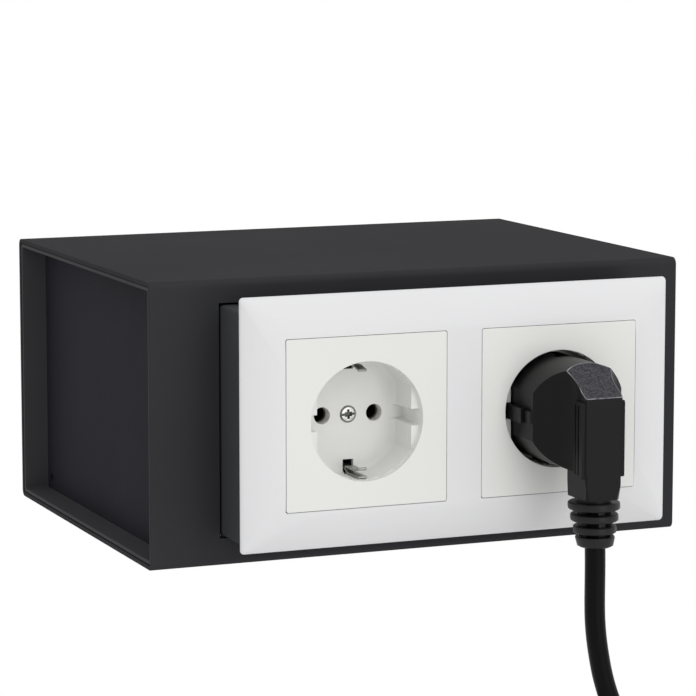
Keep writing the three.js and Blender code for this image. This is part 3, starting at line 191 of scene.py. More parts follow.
def turned(name, profile, centre, axis="y", sides=48):
    """A closed profile of (radius, height) points spun about y or z through centre."""
    cx, cy, cz = centre
    rings = []
    for i in range(sides):
        a = 2 * math.pi * i / sides
        c, s = math.cos(a), math.sin(a)
        rings.append([(cx + r * c, h, cz + r * s) if axis == "y" else
                      (cx + r * c, cy + r * s, h) for r, h in profile])
    piece = lofted(name, rings, closed=True)
    with edited(piece.data) as shape:
        bmesh.ops.dissolve_degenerate(shape, edges=shape.edges, dist=TOUCHING)
        bmesh.ops.recalc_face_normals(shape, faces=shape.faces)
    return piece


def disc(name, radius, low, high, x, z, sides=64):
    return slab(name, arc(x, z, radius, 0, 360 - 360 / sides, sides - 1), low, high)


def report(*pieces):
    for piece in pieces:
        print(piece.name, "has", len(piece.data.polygons), "faces")


print("a rounded rectangle is drawn with", len(rounded(0, 20, 0, 10, 2)), "points")

# %% [markdown]
# ## Joining, cutting and rounding
# `carve`, `fuse` and `within` are the boolean steps: they cut shapes out of a piece, join them
# to it, or keep what both share. `baked` turns modifiers into plain mesh at once, so that none
# is left for later. A boolean leaves a flat face in parts, so `flattened` joins them first.
# `softened` then rounds the sharp edges with a bevel and weights the normals, which keeps a flat
# face looking flat beside its rounding. `dressed` does that to a copy of a measured node, and
# `settled` gives a piece its material and lets it stand for its node.

# %% Joining, cutting and rounding
def baked(piece):
    """The evaluated mesh becomes the piece's own, and its modifiers go."""
    graph = bpy.context.evaluated_depsgraph_get()
    mesh = bpy.data.meshes.new_from_object(piece.evaluated_get(graph))
    old = piece.data
    piece.modifiers.clear()
    piece.data = mesh
    bpy.data.meshes.remove(old)
    mesh.name = piece.name
    return piece


def combine(piece, others, operation):
    for other in others:
        step = piece.modifiers.new("combine", "BOOLEAN")
        step.operation = operation
        step.solver = "MANIFOLD"
        step.object = other
        baked(piece)
        bpy.data.objects.remove(other)
    return piece


def carve(piece, *cutters):
    return combine(piece, cutters, "DIFFERENCE")


def fuse(piece, *others):
    return combine(piece, others, "UNION")


def within(piece, *others):
    return combine(piece, others, "INTERSECT")


MERGED = 2e-6
FLAT_ANGLE = math.radians(0.8)
SHARP_ANGLE = math.radians(50)


def flattened(shape):
    """Joins the parts of each flat face."""
    bmesh.ops.remove_doubles(shape, verts=shape.verts, dist=MERGED)
    bmesh.ops.dissolve_limit(shape, angle_limit=FLAT_ANGLE, verts=shape.verts, edges=shape.edges)


def softened(piece, radius, segments=2, degrees=28, clamp=True):
    """Joins flat faces, rounds the edges and lets the light run smoothly over them."""
    with edited(piece.data) as shape:
        flattened(shape)
    edge = piece.modifiers.new("edge", "BEVEL")
    edge.width = radius * MM
    edge.segments = segments
    edge.limit_method = "ANGLE"
    edge.angle_limit = math.radians(degrees)
    edge.use_clamp_overlap = clamp
    baked(piece)
    piece.data.shade_smooth()
    piece.data.set_sharp_from_angle(angle=SHARP_ANGLE)
    weigh = piece.modifiers.new("weigh", "WEIGHTED_NORMAL")
    weigh.keep_sharp = True
    return baked(piece)


BODY_OF = {node: body for body, nodes in record["behaviour"]["bodies"].items() for node in nodes}


def stands_for(piece, *nodes):
    """The piece rides on its nodes' body and replaces them."""
    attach(piece, BODY_OF[nodes[0]])
    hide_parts(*nodes)
    return piece


def settled(piece, node, finish):
    """Gives a finished piece its material and lets it stand for its node."""
    piece.data.materials.clear()
    piece.data.materials.append(finish)
    return stands_for(piece, node)


def dressed(node, finish, radius):
    """A copy of a measured node with rounded edges, which stands for the node."""
    piece = shown(f"{node}_dressed", frame["nodes"][node].data.copy())
    piece.data.materials.clear()
    softened(piece, radius)
    return settled(piece, node, finish)


print("measured nodes to dress:", len(BODY_OF))

# %% [markdown]
# ## Finishes
# The finishes share a few effects, and each effect is a node group that is built once. `Fine
# grain` is the small texture that powder coat, moulded plastic and rubber all have: a noise
# that gives a height for the bump and a little colour and roughness drift. `Brushed streaks`
# stretches a noise along one axis, as on plated and machined metal. Each material places the
# group with its own sizes and keeps its shader outside, so that an export can read it.

# %% Colours and the shared effects
def srgb(r, g, b):
    def linear(v):
        v /= 255
        return v / 12.92 if v <= 0.04045 else ((v + 0.055) / 1.055) ** 2.4
    return (linear(r), linear(g), linear(b), 1.0)


def effect(name, vectors, colors, floats):
    """A group with the named inputs, which puts out a colour, a roughness and a height."""
    group = bpy.data.node_groups.new(name, "ShaderNodeTree")
    for kind, labels in (("Vector", vectors), ("Color", colors), ("Float", floats)):
        for label in labels:
            group.interface.new_socket(label, in_out="INPUT", socket_type=f"NodeSocket{kind}")
    for label, kind in (("Color", "Color"), ("Roughness", "Float"), ("Height", "Float")):
        group.interface.new_socket(label, in_out="OUTPUT", socket_type=f"NodeSocket{kind}")
    given, out = [group.nodes.new(f"NodeGroup{end}") for end in ("Input", "Output")]
    return group, given.outputs, out


def feed(tree, made, feeds):
    """Sets a node's inputs to values, or links them to the sockets that feed them."""
    for entry, value in feeds.items():
        if isinstance(value, (int, float, tuple)):
            made.inputs[entry].default_value = value
        else:
            tree.links.new(value, made.inputs[entry])
    return made


def node(tree, kind, feeds=None, **settings):
    made = tree.nodes.new(f"ShaderNode{kind}")
    for key, value in settings.items():
        setattr(made, key, value)
    return feed(tree, made, feeds or {})


def noise(tree, vector, scale, detail, roughness):
    return node(tree, "TexNoise", {"Vector": vector, "Scale": scale, "Detail": detail,
                                   "Roughness": roughness}).outputs["Fac"]


def mapped(tree, value, low, high, to_low, to_high):
    return node(tree, "MapRange", {"Value": value, "From Min": low, "From Max": high,
                                   "To Min": to_low, "To Max": to_high}).outputs["Result"]


def mixed(tree, factor, a, b):
    return node(tree, "Mix", {0: factor, 6: a, 7: b}, data_type="RGBA").outputs[2]


def fine_grain():
    group, given, out = effect(
        "Fine grain", ["Vector"], ["Color", "Drift color"],
        ["Grain scale", "Drift scale", "Drift", "Roughness", "Roughness spread"],
    )
    grain = noise(group, given["Vector"], given["Grain scale"], 3.0, 0.6)
    drift = noise(group, given["Vector"], given["Drift scale"], 4.0, 0.55)
    share = mapped(group, drift, 0.35, 0.65, 0.0, given["Drift"])
    half = node(group, "Math", {0: grain, 1: 0.5}, operation="SUBTRACT").outputs[0]
    rough = node(group, "Math", {0: half, 1: given["Roughness spread"], 2: given["Roughness"]},
                 operation="MULTIPLY_ADD").outputs[0]
    color = mixed(group, share, given["Color"], given["Drift color"])
    feed(group, out, {"Color": color, "Roughness": rough, "Height": grain})
    return group


def brushed_streaks():
    group, given, out = effect(
        "Brushed streaks", ["Vector", "Stretch"], ["Color", "Dull color"],
        ["Scale", "Bright roughness", "Dull roughness"],
    )
    stretched = node(group, "VectorMath", {0: given["Vector"], 1: given["Stretch"]},
                     operation="MULTIPLY").outputs[0]
    streak = noise(group, stretched, given["Scale"], 3.0, 0.6)
    cloud = noise(group, given["Vector"], 90.0, 3.0, 0.5)
    share = mapped(group, cloud, 0.35, 0.7, 0.0, 1.0)
    rough = mapped(group, streak, 0.3, 0.7, given["Bright roughness"], given["Dull roughness"])
    color = mixed(group, share, given["Color"], given["Dull color"])
    feed(group, out, {"Color": color, "Roughness": rough, "Height": streak})
    return group


FINE_GRAIN = fine_grain()
BRUSHED_STREAKS = brushed_streaks()
print("effects:", FINE_GRAIN.name, "and", BRUSHED_STREAKS.name)

# %% [markdown]
# ## Materials
# `coat` makes the painted and moulded finishes from the fine grain, and `metal` the plated ones
# from the streaks. The casing's charcoal coat is so dull that it hardly reflects. The end pans
# are blue-black, and their flanges are painted a lighter grey, which is painted light. The cover
# is a cooler white than the inserts. The plug has one finish for its body, one for its stippled
# facet and a light one on the facet's edge, which is a painted highlight.

# %% The materials
def material(name, effect_group, values, bump, depth, specular=0.5, metallic=0.0):
    made = bpy.data.materials.new(name)
    made.use_nodes = True
    tree = made.node_tree
    place = node(tree, "TexCoord").outputs["Object"]
    look = node(tree, "Group", {"Vector": place, **values}, node_tree=effect_group).outputs
    relief = node(tree, "Bump", {"Strength": bump, "Distance": depth * MM,
                                 "Height": look["Height"]}).outputs["Normal"]
    feed(tree, tree.nodes["Principled BSDF"], {
        "Metallic": metallic, "Specular IOR Level": specular, "Base Color": look["Color"],
        "Roughness": look["Roughness"], "Normal": relief,
    })
    return made


def coat(name, color, drift_color, grain, cloud, rough, bump, depth, drift=0.3, spread=0.08,
         specular=0.5):
    """Powder coat or moulded plastic: one colour that drifts a little, over a fine grain."""
    values = {"Color": srgb(*color), "Drift color": srgb(*drift_color), "Grain scale": grain,
              "Drift scale": cloud, "Drift": drift, "Roughness": rough, "Roughness spread": spread}
    return material(name, FINE_GRAIN, values, bump, depth, specular)


def metal(name, color, dull, rough, bump, depth=0.01, stretch=(1.0, 1.0, 0.05)):
    values = {"Color": srgb(*color), "Dull color": srgb(*dull), "Stretch": stretch,
              "Scale": 1500, "Bright roughness": rough[0], "Dull roughness": rough[1]}
    return material(name, BRUSHED_STREAKS, values, bump, depth, metallic=1.0)


POWDER = {"grain": 1600, "cloud": 14, "rough": 0.66, "drift": 0.7, "bump": 0.1, "depth": 0.05}
POWDER_COAT = coat("charcoal_powder_coat", (57, 57, 59), (53, 53, 55), **POWDER, specular=0.01)
PAN_COAT = coat("blue_black_powder_coat", (43, 42, 48), (37, 37, 43), **POWDER, specular=0.03)
# painted light: the lighter grey on the end pans' flanges
FLANGE_PAINTED_LIGHT = coat("flange_powder_coat", (72, 72, 74), (66, 66, 68), **POWDER, specular=0.03)
TRAY_COAT = coat("drawer_powder_coat", (68, 70, 73), (61, 63, 66),
                 **POWDER | {"cloud": 18, "rough": 0.6}, specular=0.05)
WHITE = {"grain": 3200, "rough": 0.5, "spread": 0.04, "bump": 0.04, "depth": 0.02}
COVER_WHITE = coat("cover_white_plastic", (229, 229, 230), (226, 226, 228), cloud=20, **WHITE,
                   specular=0.3)
INSERT_WHITE = coat("insert_white_plastic", (233, 233, 230), (230, 230, 226), cloud=24, **WHITE,
                    specular=0.1)
BASE_GREY = coat("base_grey_plastic", (44, 44, 46), (36, 36, 38), grain=1800, cloud=60,
                 rough=0.6, bump=0.2, depth=0.05)
PLUG_BLACK = coat("plug_black_plastic", (17, 17, 18), (13, 13, 14), grain=5200, cloud=90,
                  rough=0.38, spread=0.2, bump=0.3, depth=0.04, specular=0.15)
STIPPLED_BLACK = coat("plug_stippled_facet", (20, 19, 24), (87, 85, 94), grain=2600, cloud=1400,
                      rough=0.5, spread=0.5, drift=0.72, bump=0.9, depth=0.22, specular=0.3)
# painted highlight: the light finish on the rounded edge around the plug's facet
FACET_EDGE_PAINTED_HIGHLIGHT = coat("plug_rubbed_edge", (158, 158, 164), (58, 58, 62), grain=4200, cloud=240,
                    rough=0.45, drift=1.0, bump=0.3, depth=0.04)
CORD_BLACK = coat("cord_black_rubber", (9, 9, 10), (6, 6, 7), grain=2400, cloud=60,
                  rough=0.42, spread=0.15, bump=0.15, depth=0.05, specular=0.09)
RELIEF_BLACK = coat("relief_black_rubber", (27, 27, 28), (20, 20, 21), grain=4200, cloud=90,
                    rough=0.42, spread=0.2, bump=0.3, depth=0.04, specular=0.25)
ZINC = metal("zinc_plated_steel", (176, 180, 183), (148, 152, 156), rough=(0.3, 0.5), bump=0.1)
NICKEL = metal("nickel_plate", (205, 205, 202), (178, 178, 174), rough=(0.16, 0.3), bump=0.06)
CLIP_STEEL = metal("sprung_clip_steel", (176, 177, 175), (136, 138, 136), rough=(0.35, 0.5),
                   bump=0.06)
SCREW_STEEL = metal("screw_steel", (226, 226, 222), (196, 197, 194), rough=(0.3, 0.5), bump=0.12,
                    depth=0.02)
DARK_BRONZE = metal("dark_contact_bronze", (96, 84, 66), (66, 58, 46), rough=(0.4, 0.55),
                    bump=0.08, stretch=(1.0, 0.05, 1.0))
# painted shade: the dark finish for the bottom and walls of the screw slots
SLOT_PAINTED_SHADE = metal("slot_steel", (118, 122, 118), (84, 88, 84), rough=(0.4, 0.6), bump=0.08)
print("materials:", len(bpy.data.materials))

# %% [markdown]
# ## The lead
# The plug's lead is 7 mm thick and hangs straight out of its strain relief before it bends to
# the right. The photo shows only its first part. The rest, up to a length of about 1.5 m, is
# wound into a round coil that hangs from the lead below the view, held by a tie. The route is
# a list of given steps, to the right and down from the plug's neck, joined by a
# Catmull-Rom curve, and the coil follows a rule: it spirals in and out again, one layer behind
# another.

# %% The route of the lead
ROUTE_STEPS = (
    (0, 0), (0.2, 5), (0.5, 11), (0.7, 17), (0.8, 23), (0.8, 29), (0.8, 35.5), (1, 41.8),
    (1.6, 48), (2.6, 54.2), (3.9, 60.4), (5.7, 66.5), (7.6, 71.3), (10, 75.9), (13, 80.1),
    (16.4, 84), (20.3, 87.6), (22.6, 89.5),
)
CORD_ROUTE = [Vector((OUTLET_X["right"] + across, CORD_Y, CORD_TOP - down)) * MM
              for across, down in ROUTE_STEPS]
COIL_RADII = (0.0422, 0.0305)
COIL_TURNS = 6
COIL_LAYERS = 4
LAYER_PITCH = 0.0076
INTO_COIL = 0.0073
TAIL_DROP = 0.0179


def smooth_through(points, steps):
    """A Catmull-Rom curve through the points, with a few steps between each two."""
    ends = [2 * points[0] - points[1], *points, 2 * points[-1] - points[-2]]
    curve = []
    for a, b, c, d in zip(ends, ends[1:], ends[2:], ends[3:]):
        for i in range(steps):
            t = i / steps
            curve.append(0.5 * (2 * b + (c - a) * t + (2 * a - 5 * b + 4 * c - d) * t * t
                                + (3 * b - a - 3 * c + d) * t ** 3))
    return curve + [points[-1]]


def coil_points(steps_per_turn=48):
    """The coil starts where the lead's last step points and ends at its right, going down."""
    lead = (CORD_ROUTE[-1] - CORD_ROUTE[-2]).normalized()
    entry = CORD_ROUTE[-1] + lead * INTO_COIL
    start = math.atan2(-lead.z, lead.x)
    outer, inner = COIL_RADII
    centre = entry - Vector((math.sin(start), 0, math.cos(start))) * outer
    turns = COIL_TURNS + (math.pi / 2 - start) / (2 * math.pi)
    per_layer = turns / COIL_LAYERS
    count = round(turns * steps_per_turn)
    points = []
    for i in range(count + 1):
        turn = turns * i / count
        phase = turn / per_layer % 2
        radius = outer - (phase if phase < 1 else 2 - phase) * (outer - inner)
        layer = 0.0
        for k in range(1, COIL_LAYERS):
            t = min(max((turn - k * per_layer) / 0.5 + 0.5, 0), 1)
            layer += t * t * (3 - 2 * t)
        angle = start + turn * 2 * math.pi
        spot = Vector((math.sin(angle), 0, math.cos(angle))) * radius
        points.append(centre + spot + Vector((0, LAYER_PITCH * layer, 0)))
    return points, centre


coil, coil_centre = coil_points()
tail = coil[-1] + Vector((0, 0, -TAIL_DROP))
cord_line = smooth_through(CORD_ROUTE, 3) + [CORD_ROUTE[-1].lerp(coil[0], 0.5)] + coil
cord_line += [coil[-1].lerp(tail, f) for f in (0.25, 0.5, 0.75)] + [tail]

# %% [markdown]
# ## The lead as one tube
# A tube is a ring of points carried along the route. Each ring is turned as little as possible
# from the one before, which keeps the tube from twisting. The rings are dense enough that the
# coil looks round, and the two ends are closed.

# %% The tube of the lead
def tube(name, line, radius, sides=16):
    side = Vector((0, 1, 0))
    angles = [2 * math.pi * k / sides for k in range(sides)]
    rings = []
    for i, p in enumerate(line):
        along = (line[min(i + 1, len(line) - 1)] - line[max(i - 1, 0)]).normalized()
        side = (side - along * side.dot(along)).normalized()
        other = along.cross(side)
        rings.append([(p + (side * math.cos(a) + other * math.sin(a)) * radius) / MM
                      for a in angles])
    piece = lofted(name, rings)
    piece.data.shade_smooth()
    piece.data.set_sharp_from_angle(angle=math.radians(60))
    return piece


lead = tube("mains_lead", cord_line, CORD_RADIUS * MM)
lead.data.materials.append(CORD_BLACK)
stands_for(lead, "cord", "cord_coil")
report(lead)

# %% [markdown]
# ## The strain relief
# The strain relief below the plug is a row of three rings and a collar on a sleeve, which
# bends but never kinks. It is turned like a vase, then its windows are cut, which leaves a
# cross of webs between the rings. The relief leans to the right a little, as the lead does.

# %% Strain relief
def strain_relief():
    x, y, z = OUTLET_X["right"], CORD_Y, COVER_Z
    bore, core, half, web = CORD_RADIUS + 0.15, 5.8, 1.3, 1.25
    profile = [(bore, z - 42.8), (5.2, z - 42.8), (6.1, z - 42.3), (6.7, z - 39.7),
               (6.5, z - 39.1), (5.3, z - 39.1)]
    for drop, radius in ((36.7, 7.35), (32.6, 8.15), (28.6, 8.85)):
        profile += [(r, z - drop + h) for r, h in (
            (core, -half), (radius - 0.6, -half), (radius - 0.1, 0.35 - half), (radius, 0),
            (radius - 0.1, half - 0.35), (radius - 0.6, half), (core, half))]
    profile += [(core, z - 26.25), (bore, z - 26.25)]
    piece = turned("strain_relief_rings", profile, (x, y, 0), "z", 64)
    cutters = []
    for low, high in ((31.35, 29.85), (35.45, 33.85), (39.15, 37.95)):
        cutters += [box("window", x + sx * web, x + sx * 9, y + sy * web, y + sy * 9, z - low,
                        z - high) for sx in (-1, 1) for sy in (-1, 1)]
    carve(piece, *cutters)
    softened(piece, 0.18, 2, 35)
    for spot in piece.data.vertices:
        spot.co.x += RELIEF_LEAN * (CORD_TOP * MM - spot.co.z)
    return settled(piece, "strain_relief", RELIEF_BLACK)


relief = strain_relief()
report(relief)

# %% [markdown]
# ## The tie and the connector
# The strap is a flat loop around all four layers of the coil. Its size is measured from the
# coil's own points at the top, and its end lies over itself in front. The connector's relief is
# turned with four ribs that get smaller towards the lead. The connector has chamfered corners,
# a hood with grip grooves and three slots. The lead carries all of them.

# %% Tie and connector
def coil_tie():
    top = [p / MM for p in coil if p.z > coil_centre.z and abs(p.x - coil_centre.x) < 0.006]
    c = coil_centre / MM
    radii = [math.hypot(p.x - c.x, p.z - c.z) for p in top]
    depths = [p.y for p in top]
    low, high = c.z + min(radii) - 5.4, c.z + max(radii) + 3.9
    front, back = min(depths) - 3.85, max(depths) + 3.85
    outer = rounded(front - 1.2, back + 1.2, low - 1.2, high + 1.2, 3.0)
    piece = slab("coil_tie_strap", outer, c.x - 6, c.x + 6, "x")
    carve(piece, slab("hollow", rounded(front, back, low, high, 1.9), c.x - 8, c.x + 8, "x"))
    lap = slab("lap", rounded(front - 1.9, front - 0.9, low + 2, high - 3, 0.4, 3), c.x - 5.6,
               c.x + 5.6, "x")
    fuse(piece, lap)
    softened(piece, 0.3, 2, 35)
    return settled(piece, "cord_tie", TIE_BLACK)


def connector():
    x, y, top = tail.x / MM, tail.y / MM, tail.z / MM - 0.3
    profile = [(0.001, top - 22), (7.0, top - 22), (6.9, top - 19), (6.2, top - 16.2)]
    for k in range(4):
        z = top - 15.2 + k * 3.6
        r = 6.3 - k * 0.42
        profile += [(r - 0.9, z - 0.6), (r - 0.9, z + 0.4), (r, z + 0.9), (r - 0.05, z + 2.4)]
    profile += [(4.5, top), (0.001, top)]
    collar = turned("connector_strain_relief", profile, (x, y, 0), "z", 48)
    softened(collar, 0.15, 2, 40)
    settled(collar, "connector_relief", RELIEF_BLACK)

    head = top - 22.3

    def section(w, d):
        return [(x - w, y + d), (x - w, y - d + 5), (x - w + 5, y - d), (x + w - 5, y - d),
                (x + w, y - d + 5), (x + w, y + d)]
    nose = slab("appliance_connector", section(12.3, 8.8), head - 32, head - 8.8, "z")
    fuse(nose, slab("hood", section(13.5, 10), head - 9, head, "z"))
    for side in (-1, 1):
        ribs = [box("rib", x + side * 13.0 - 0.9, x + side * 13.0 + 0.9, y - 4, y + 8,
                    head - 7.6 + k * 2.2, head - 6.8 + k * 2.2) for k in range(3)]
        carve(nose, *ribs)
    carve(nose, *[box("slot", x + dx - 1.2, x + dx + 1.2, y + dy - 2.5, y + dy + 2.5, head - 33,
                      head - 16) for dx, dy in ((-7, -1), (7, -1), (0, 3))])
    softened(nose, 0.45, 3, 35)
    settled(nose, "connector_body", PLUG_BLACK)
    return collar, nose


TIE_BLACK = coat("woven_tie", (34, 34, 36), (26, 26, 28), grain=1500, cloud=300, rough=0.85,
                 drift=1.0, bump=0.8, depth=0.2)
tie = coil_tie()
connector_collar, connector_head = connector()
report(tie, connector_collar, connector_head)

# %% [markdown]
# ## The cover frame
# The white frame is one moulded shell: a thin upright rim, then a crown that rises steeply and
# runs out flat at the outlets. Its heights are a short list, read inwards from the rim. Such a
# form is lofted: a rounded rectangle is set in by a growing inset and pushed forward by the
# crown's height. A second, smaller loft is cut from the back to make it a shell, and then the
# two square openings with their ledges are cut.

# %% Cover frame
HALF_WIDTH, HALF_HEIGHT = 78.8, 42.9
CORNER = 1.4
CROWN = ((0.05, 0.35), (0.2, 0.75), (0.5, 1.1), (1.0, 1.5), (2.0, 2.1), (3.5, 2.9), (5.0, 3.6),
         (7.0, 4.35), (9.0, 4.95), (11.0, 5.45), (13.2, 5.8))
SHELL = 1.9
HOLLOW_EDGE = -172.0
HOLLOW_RISE = 4.4
OPENING, LEDGE, COLLAR = 58.3, 55.5, 61.1


def cover_rings(insets):
    rings = []
    for inset, y, corner in insets:
        w, h = HALF_WIDTH - inset, HALF_HEIGHT - inset
        outline = rounded(DRAWER_X - w, DRAWER_X + w, COVER_Z - h, COVER_Z + h, corner, 8)
        rings.append([(a, y, b) for a, b in outline])
    return rings


def square(x, size, corner=0.75):
    h = size / 2
    return rounded(x - h, x + h, COVER_Z - h, COVER_Z + h, corner, 5)


def cover_frame():
    outer = [(0.9, COVER_BACK, CORNER), (0.7, COVER_BACK - 0.3, CORNER),
             (0.12, COVER_RIM + 0.3, CORNER), (0, COVER_RIM, CORNER)]
    outer += [(inset, COVER_RIM - height, CORNER + 0.7 * inset) for inset, height in CROWN]
    inner = [(SHELL, COVER_BACK + 2, 1.1), (SHELL, HOLLOW_EDGE, 1.1)]
    for share in (k / 18 for k in range(1, 19)):
        rise = HOLLOW_RISE * (1 - (1 - share) ** 2)
        inner.append((SHELL + share * CROWN[-1][0], HOLLOW_EDGE - rise, 1.1))
    piece = lofted("cover_frame_shell", cover_rings(outer))
    carve(piece, lofted("hollow", cover_rings(inner)))
    for x in OUTLET_X.values():
        fuse(piece, slab("collar", square(x, COLLAR), COVER_FACE + 0.5, -173.1))
    for x in OUTLET_X.values():
        carve(piece, slab("opening", square(x, OPENING), -182, -174.3),
              slab("ledge", square(x, LEDGE), -180, -172))
    softened(piece, 0.22, 3, 40)
    return settled(piece, "cover_frame", COVER_WHITE)


cover = cover_frame()
report(cover)

# %% [markdown]
# ## The outlet inserts
# Each insert is a square plate with a round well. The well has a flat at each side, which
# begins a little behind the face and has a guide notch in it, and wall and floor meet in a
# fillet. The floor has two contact holes, a sunk hole for the centre screw and two slots for
# the earth clips. The well is built as a cutter of its own and taken away in one go, so its
# wall stays one smooth surface.

# %% Outlet inserts
WELL_RADIUS, WELL_FLAT, WELL_FILLET = 20.2, 17, 2
INSERT_SIZE = 57.9


def well_ring(x, y, inset):
    """A circle with its left and right cut flat, drawn in by an inset."""
    radius, flat = WELL_RADIUS - inset, WELL_FLAT - inset
    turn = math.degrees(math.acos(flat / radius))
    spots = arc(x, COVER_Z, radius, turn, 180 - turn, 48)
    spots += arc(x, COVER_Z, radius, 180 + turn, 360 - turn, 48)
    return [(a, y, b) for a, b in spots]


def well_cutter(x):
    """The well: its flats begin a little behind the face, and its floor has a fillet."""
    r, z = WELL_FILLET, COVER_Z
    fillet = [(WELL_FLOOR - r + r * math.sin(t), r - r * math.cos(t))
              for t in (k * math.pi / 16 for k in range(9))]
    well = lofted("well", [well_ring(x, y, inset) for y, inset in [(-182, 0), *fillet]])
    notch = [(-183, -2.8), (-183, 2.8), (-176, 2.8), (WELL_FLOOR, 2.4), (WELL_FLOOR, -2.4),
             (-176, -2.8)]
    groove = slab("notch", [(a, z + b) for a, b in notch], x - 22, x + 22, "x")
    within(groove, disc("round", WELL_RADIUS, -184, -160, x, z, 128))
    return fuse(well, groove, disc("mouth", WELL_RADIUS, -182, INSERT_FACE + 2.6, x, z, 128))


def outlet_insert(side):
    x, z = OUTLET_X[side], COVER_Z
    contacts = (x - CONTACT_OFFSET, x + CONTACT_OFFSET)
    piece = slab(f"outlet_insert_{side}_plate", square(x, INSERT_SIZE), INSERT_FACE, -174.6)
    carve(piece, slab("pocket", square(x, 54.5, 0.6), -176.4, -170))
    fuse(piece, disc("cup", 21.8, INSERT_FACE + 0.5, -159.8, x, z, 96),
         *[disc("collar", 3.35, -160.5, -157.2, a, z, 48) for a in contacts])
    carve(piece, well_cutter(x), disc("sink", 2.95, -165, -160.6, x, z, 48),
          disc("bore", 2.6, -165, -158, x, z, 48),
          *[disc("contact", 2.85, -165, -156, a, z, 48) for a in contacts],
          *[box("slot", x - 1.9, x + 1.9, -165, -158, z + up * EARTH_OFFSET, z + up * 20.15)
            for up in (1, -1)])
    softened(piece, 0.22, 2, 40, clamp=False)
    return settled(piece, f"outlet_insert_{side}", INSERT_WHITE)


for side in OUTLET_X:
    report(outlet_insert(side))

# %% [markdown]
# ## Placing what repeats
# The same small part repeats in several places: two pins on the plug, four contact sleeves,
# four earth clips and four plate screws. Each is made once about the origin, and a small
# Geometry Nodes tree sets copies of it at given places: a first line of points is laid out from
# a start and a step, the part is put on each of them, and the whole line is then repeated by a
# second step for the next row. The copies are realized and taken as plain mesh.

# %% Placing copies with Geometry Nodes
def placing_tree():
    tree = bpy.data.node_groups.new("Set copies at places", "GeometryNodeTree")
    for label, kind in (("Part", "Object"), ("Start", "Vector"), ("Step", "Vector"),
                        ("Count", "Int"), ("Row step", "Vector"), ("Rows", "Int"),
                        ("Finish", "Material")):
        tree.interface.new_socket(label, in_out="INPUT", socket_type=f"NodeSocket{kind}")
    tree.interface.new_socket("Geometry", in_out="OUTPUT", socket_type="NodeSocketGeometry")
    given, out = [tree.nodes.new(f"NodeGroup{end}") for end in ("Input", "Output")]
    line, rows, part, copies, repeats, real, finish = [
        tree.nodes.new(f"GeometryNode{kind}") for kind in (
            "MeshLine", "MeshLine", "ObjectInfo", "InstanceOnPoints", "InstanceOnPoints",
            "RealizeInstances", "SetMaterial")]
    line.mode = rows.mode = "OFFSET"
    for source, result, target, entry in (
        (given, "Start", line, "Start Location"), (given, "Step", line, "Offset"),
        (given, "Count", line, "Count"), (given, "Part", part, "Object"),
        (line, "Mesh", copies, "Points"), (part, "Geometry", copies, "Instance"),
        (given, "Row step", rows, "Offset"), (given, "Rows", rows, "Count"),
        (rows, "Mesh", repeats, "Points"), (copies, "Instances", repeats, "Instance"),
        (repeats, "Instances", real, "Geometry"), (real, "Geometry", finish, "Geometry"),
        (given, "Finish", finish, "Material"), (finish, "Geometry", out, "Geometry"),
    ):
        tree.links.new(source.outputs[result], target.inputs[entry])
    return tree


PLACING = placing_tree()
SOCKET = {item.name: item.identifier for item in PLACING.interface.items_tree
          if item.in_out == "INPUT"}


def placed(name, part, start, step, count, finish, row_step=(0, 0, 0), rows=1):
    """Copies of a part at start, start + step and so on, in one or more rows (in mm)."""
    piece = shown(name, bpy.data.meshes.new(name))
    rule = piece.modifiers.new("places", "NODES")
    rule.node_group = PLACING
    for label, value in (("Part", part), ("Start", [v * MM for v in start]),
                         ("Step", [v * MM for v in step]), ("Count", count), ("Finish", finish),
                         ("Row step", [v * MM for v in row_step]), ("Rows", rows)):
        rule[SOCKET[label]] = value
    baked(piece)
    bpy.data.objects.remove(part)
    return piece


print("placing tree:", len(PLACING.nodes), "nodes")

# %% [markdown]
# ## Screws
# The centre screw of an outlet has a low head with a slot and a small cross in it, and their
# faces are painted dark, as painted shade in the recesses. The left one is the drawer's hidden
# lock, and both look the same. The four plate screws behind the cover have a plain slot.

# %% Screws
CENTRE_SCREW = {"radius": 2.65, "front": -162.0, "head": 1.5, "shank_radius": 2.3}
SLOT_HALF_WIDTH = 0.36


def screw(name, x, z, radius, front, head, shank_radius, end, angle, cross=True):
    profile = [(0.001, front), (radius * 0.55, front + 0.02), (radius - 0.25, front + 0.12),
               (radius, front + 0.4), (radius, front + head), (shank_radius, front + head),
               (shank_radius, end - 0.4), (shank_radius - 0.4, end), (0.001, end)]
    piece = turned(name, profile, (x, 0, z), "y", 48)

    def groove(half_length, half_width, depth, degrees):
        a = math.radians(degrees)
        c, s = math.cos(a), math.sin(a)
        outline = []
        for i, j in ((-1, -1), (1, -1), (1, 1), (-1, 1)):
            u, v = i * half_length, j * half_width
            outline.append((x + u * c - v * s, z + u * s + v * c))
        return slab("groove", outline, front - 1, front + depth)
    carve(piece, groove(radius + 1, SLOT_HALF_WIDTH, 0.9, angle))
    if cross:
        carve(piece, groove(radius * 0.62, 0.4, 1.2, angle + 90),
              groove(radius * 0.5, 0.75, 1.3, angle))
    return softened(piece, 0.06, 2, 35)


def with_painted_slot_shade(piece, x):
    """Paints the bottom and walls of the slot and the cross dark, as painted shade in the recess.
    """
    piece.data.materials.append(SLOT_PAINTED_SHADE)
    for face in piece.data.polygons:
        c = face.center / MM
        depth, reach = c.y - CENTRE_SCREW["front"], math.hypot(c.x - x, c.z - COVER_Z)
        if 0.2 < depth < 1.4 and reach < CENTRE_SCREW["radius"] - 0.1:
            face.material_index = 1


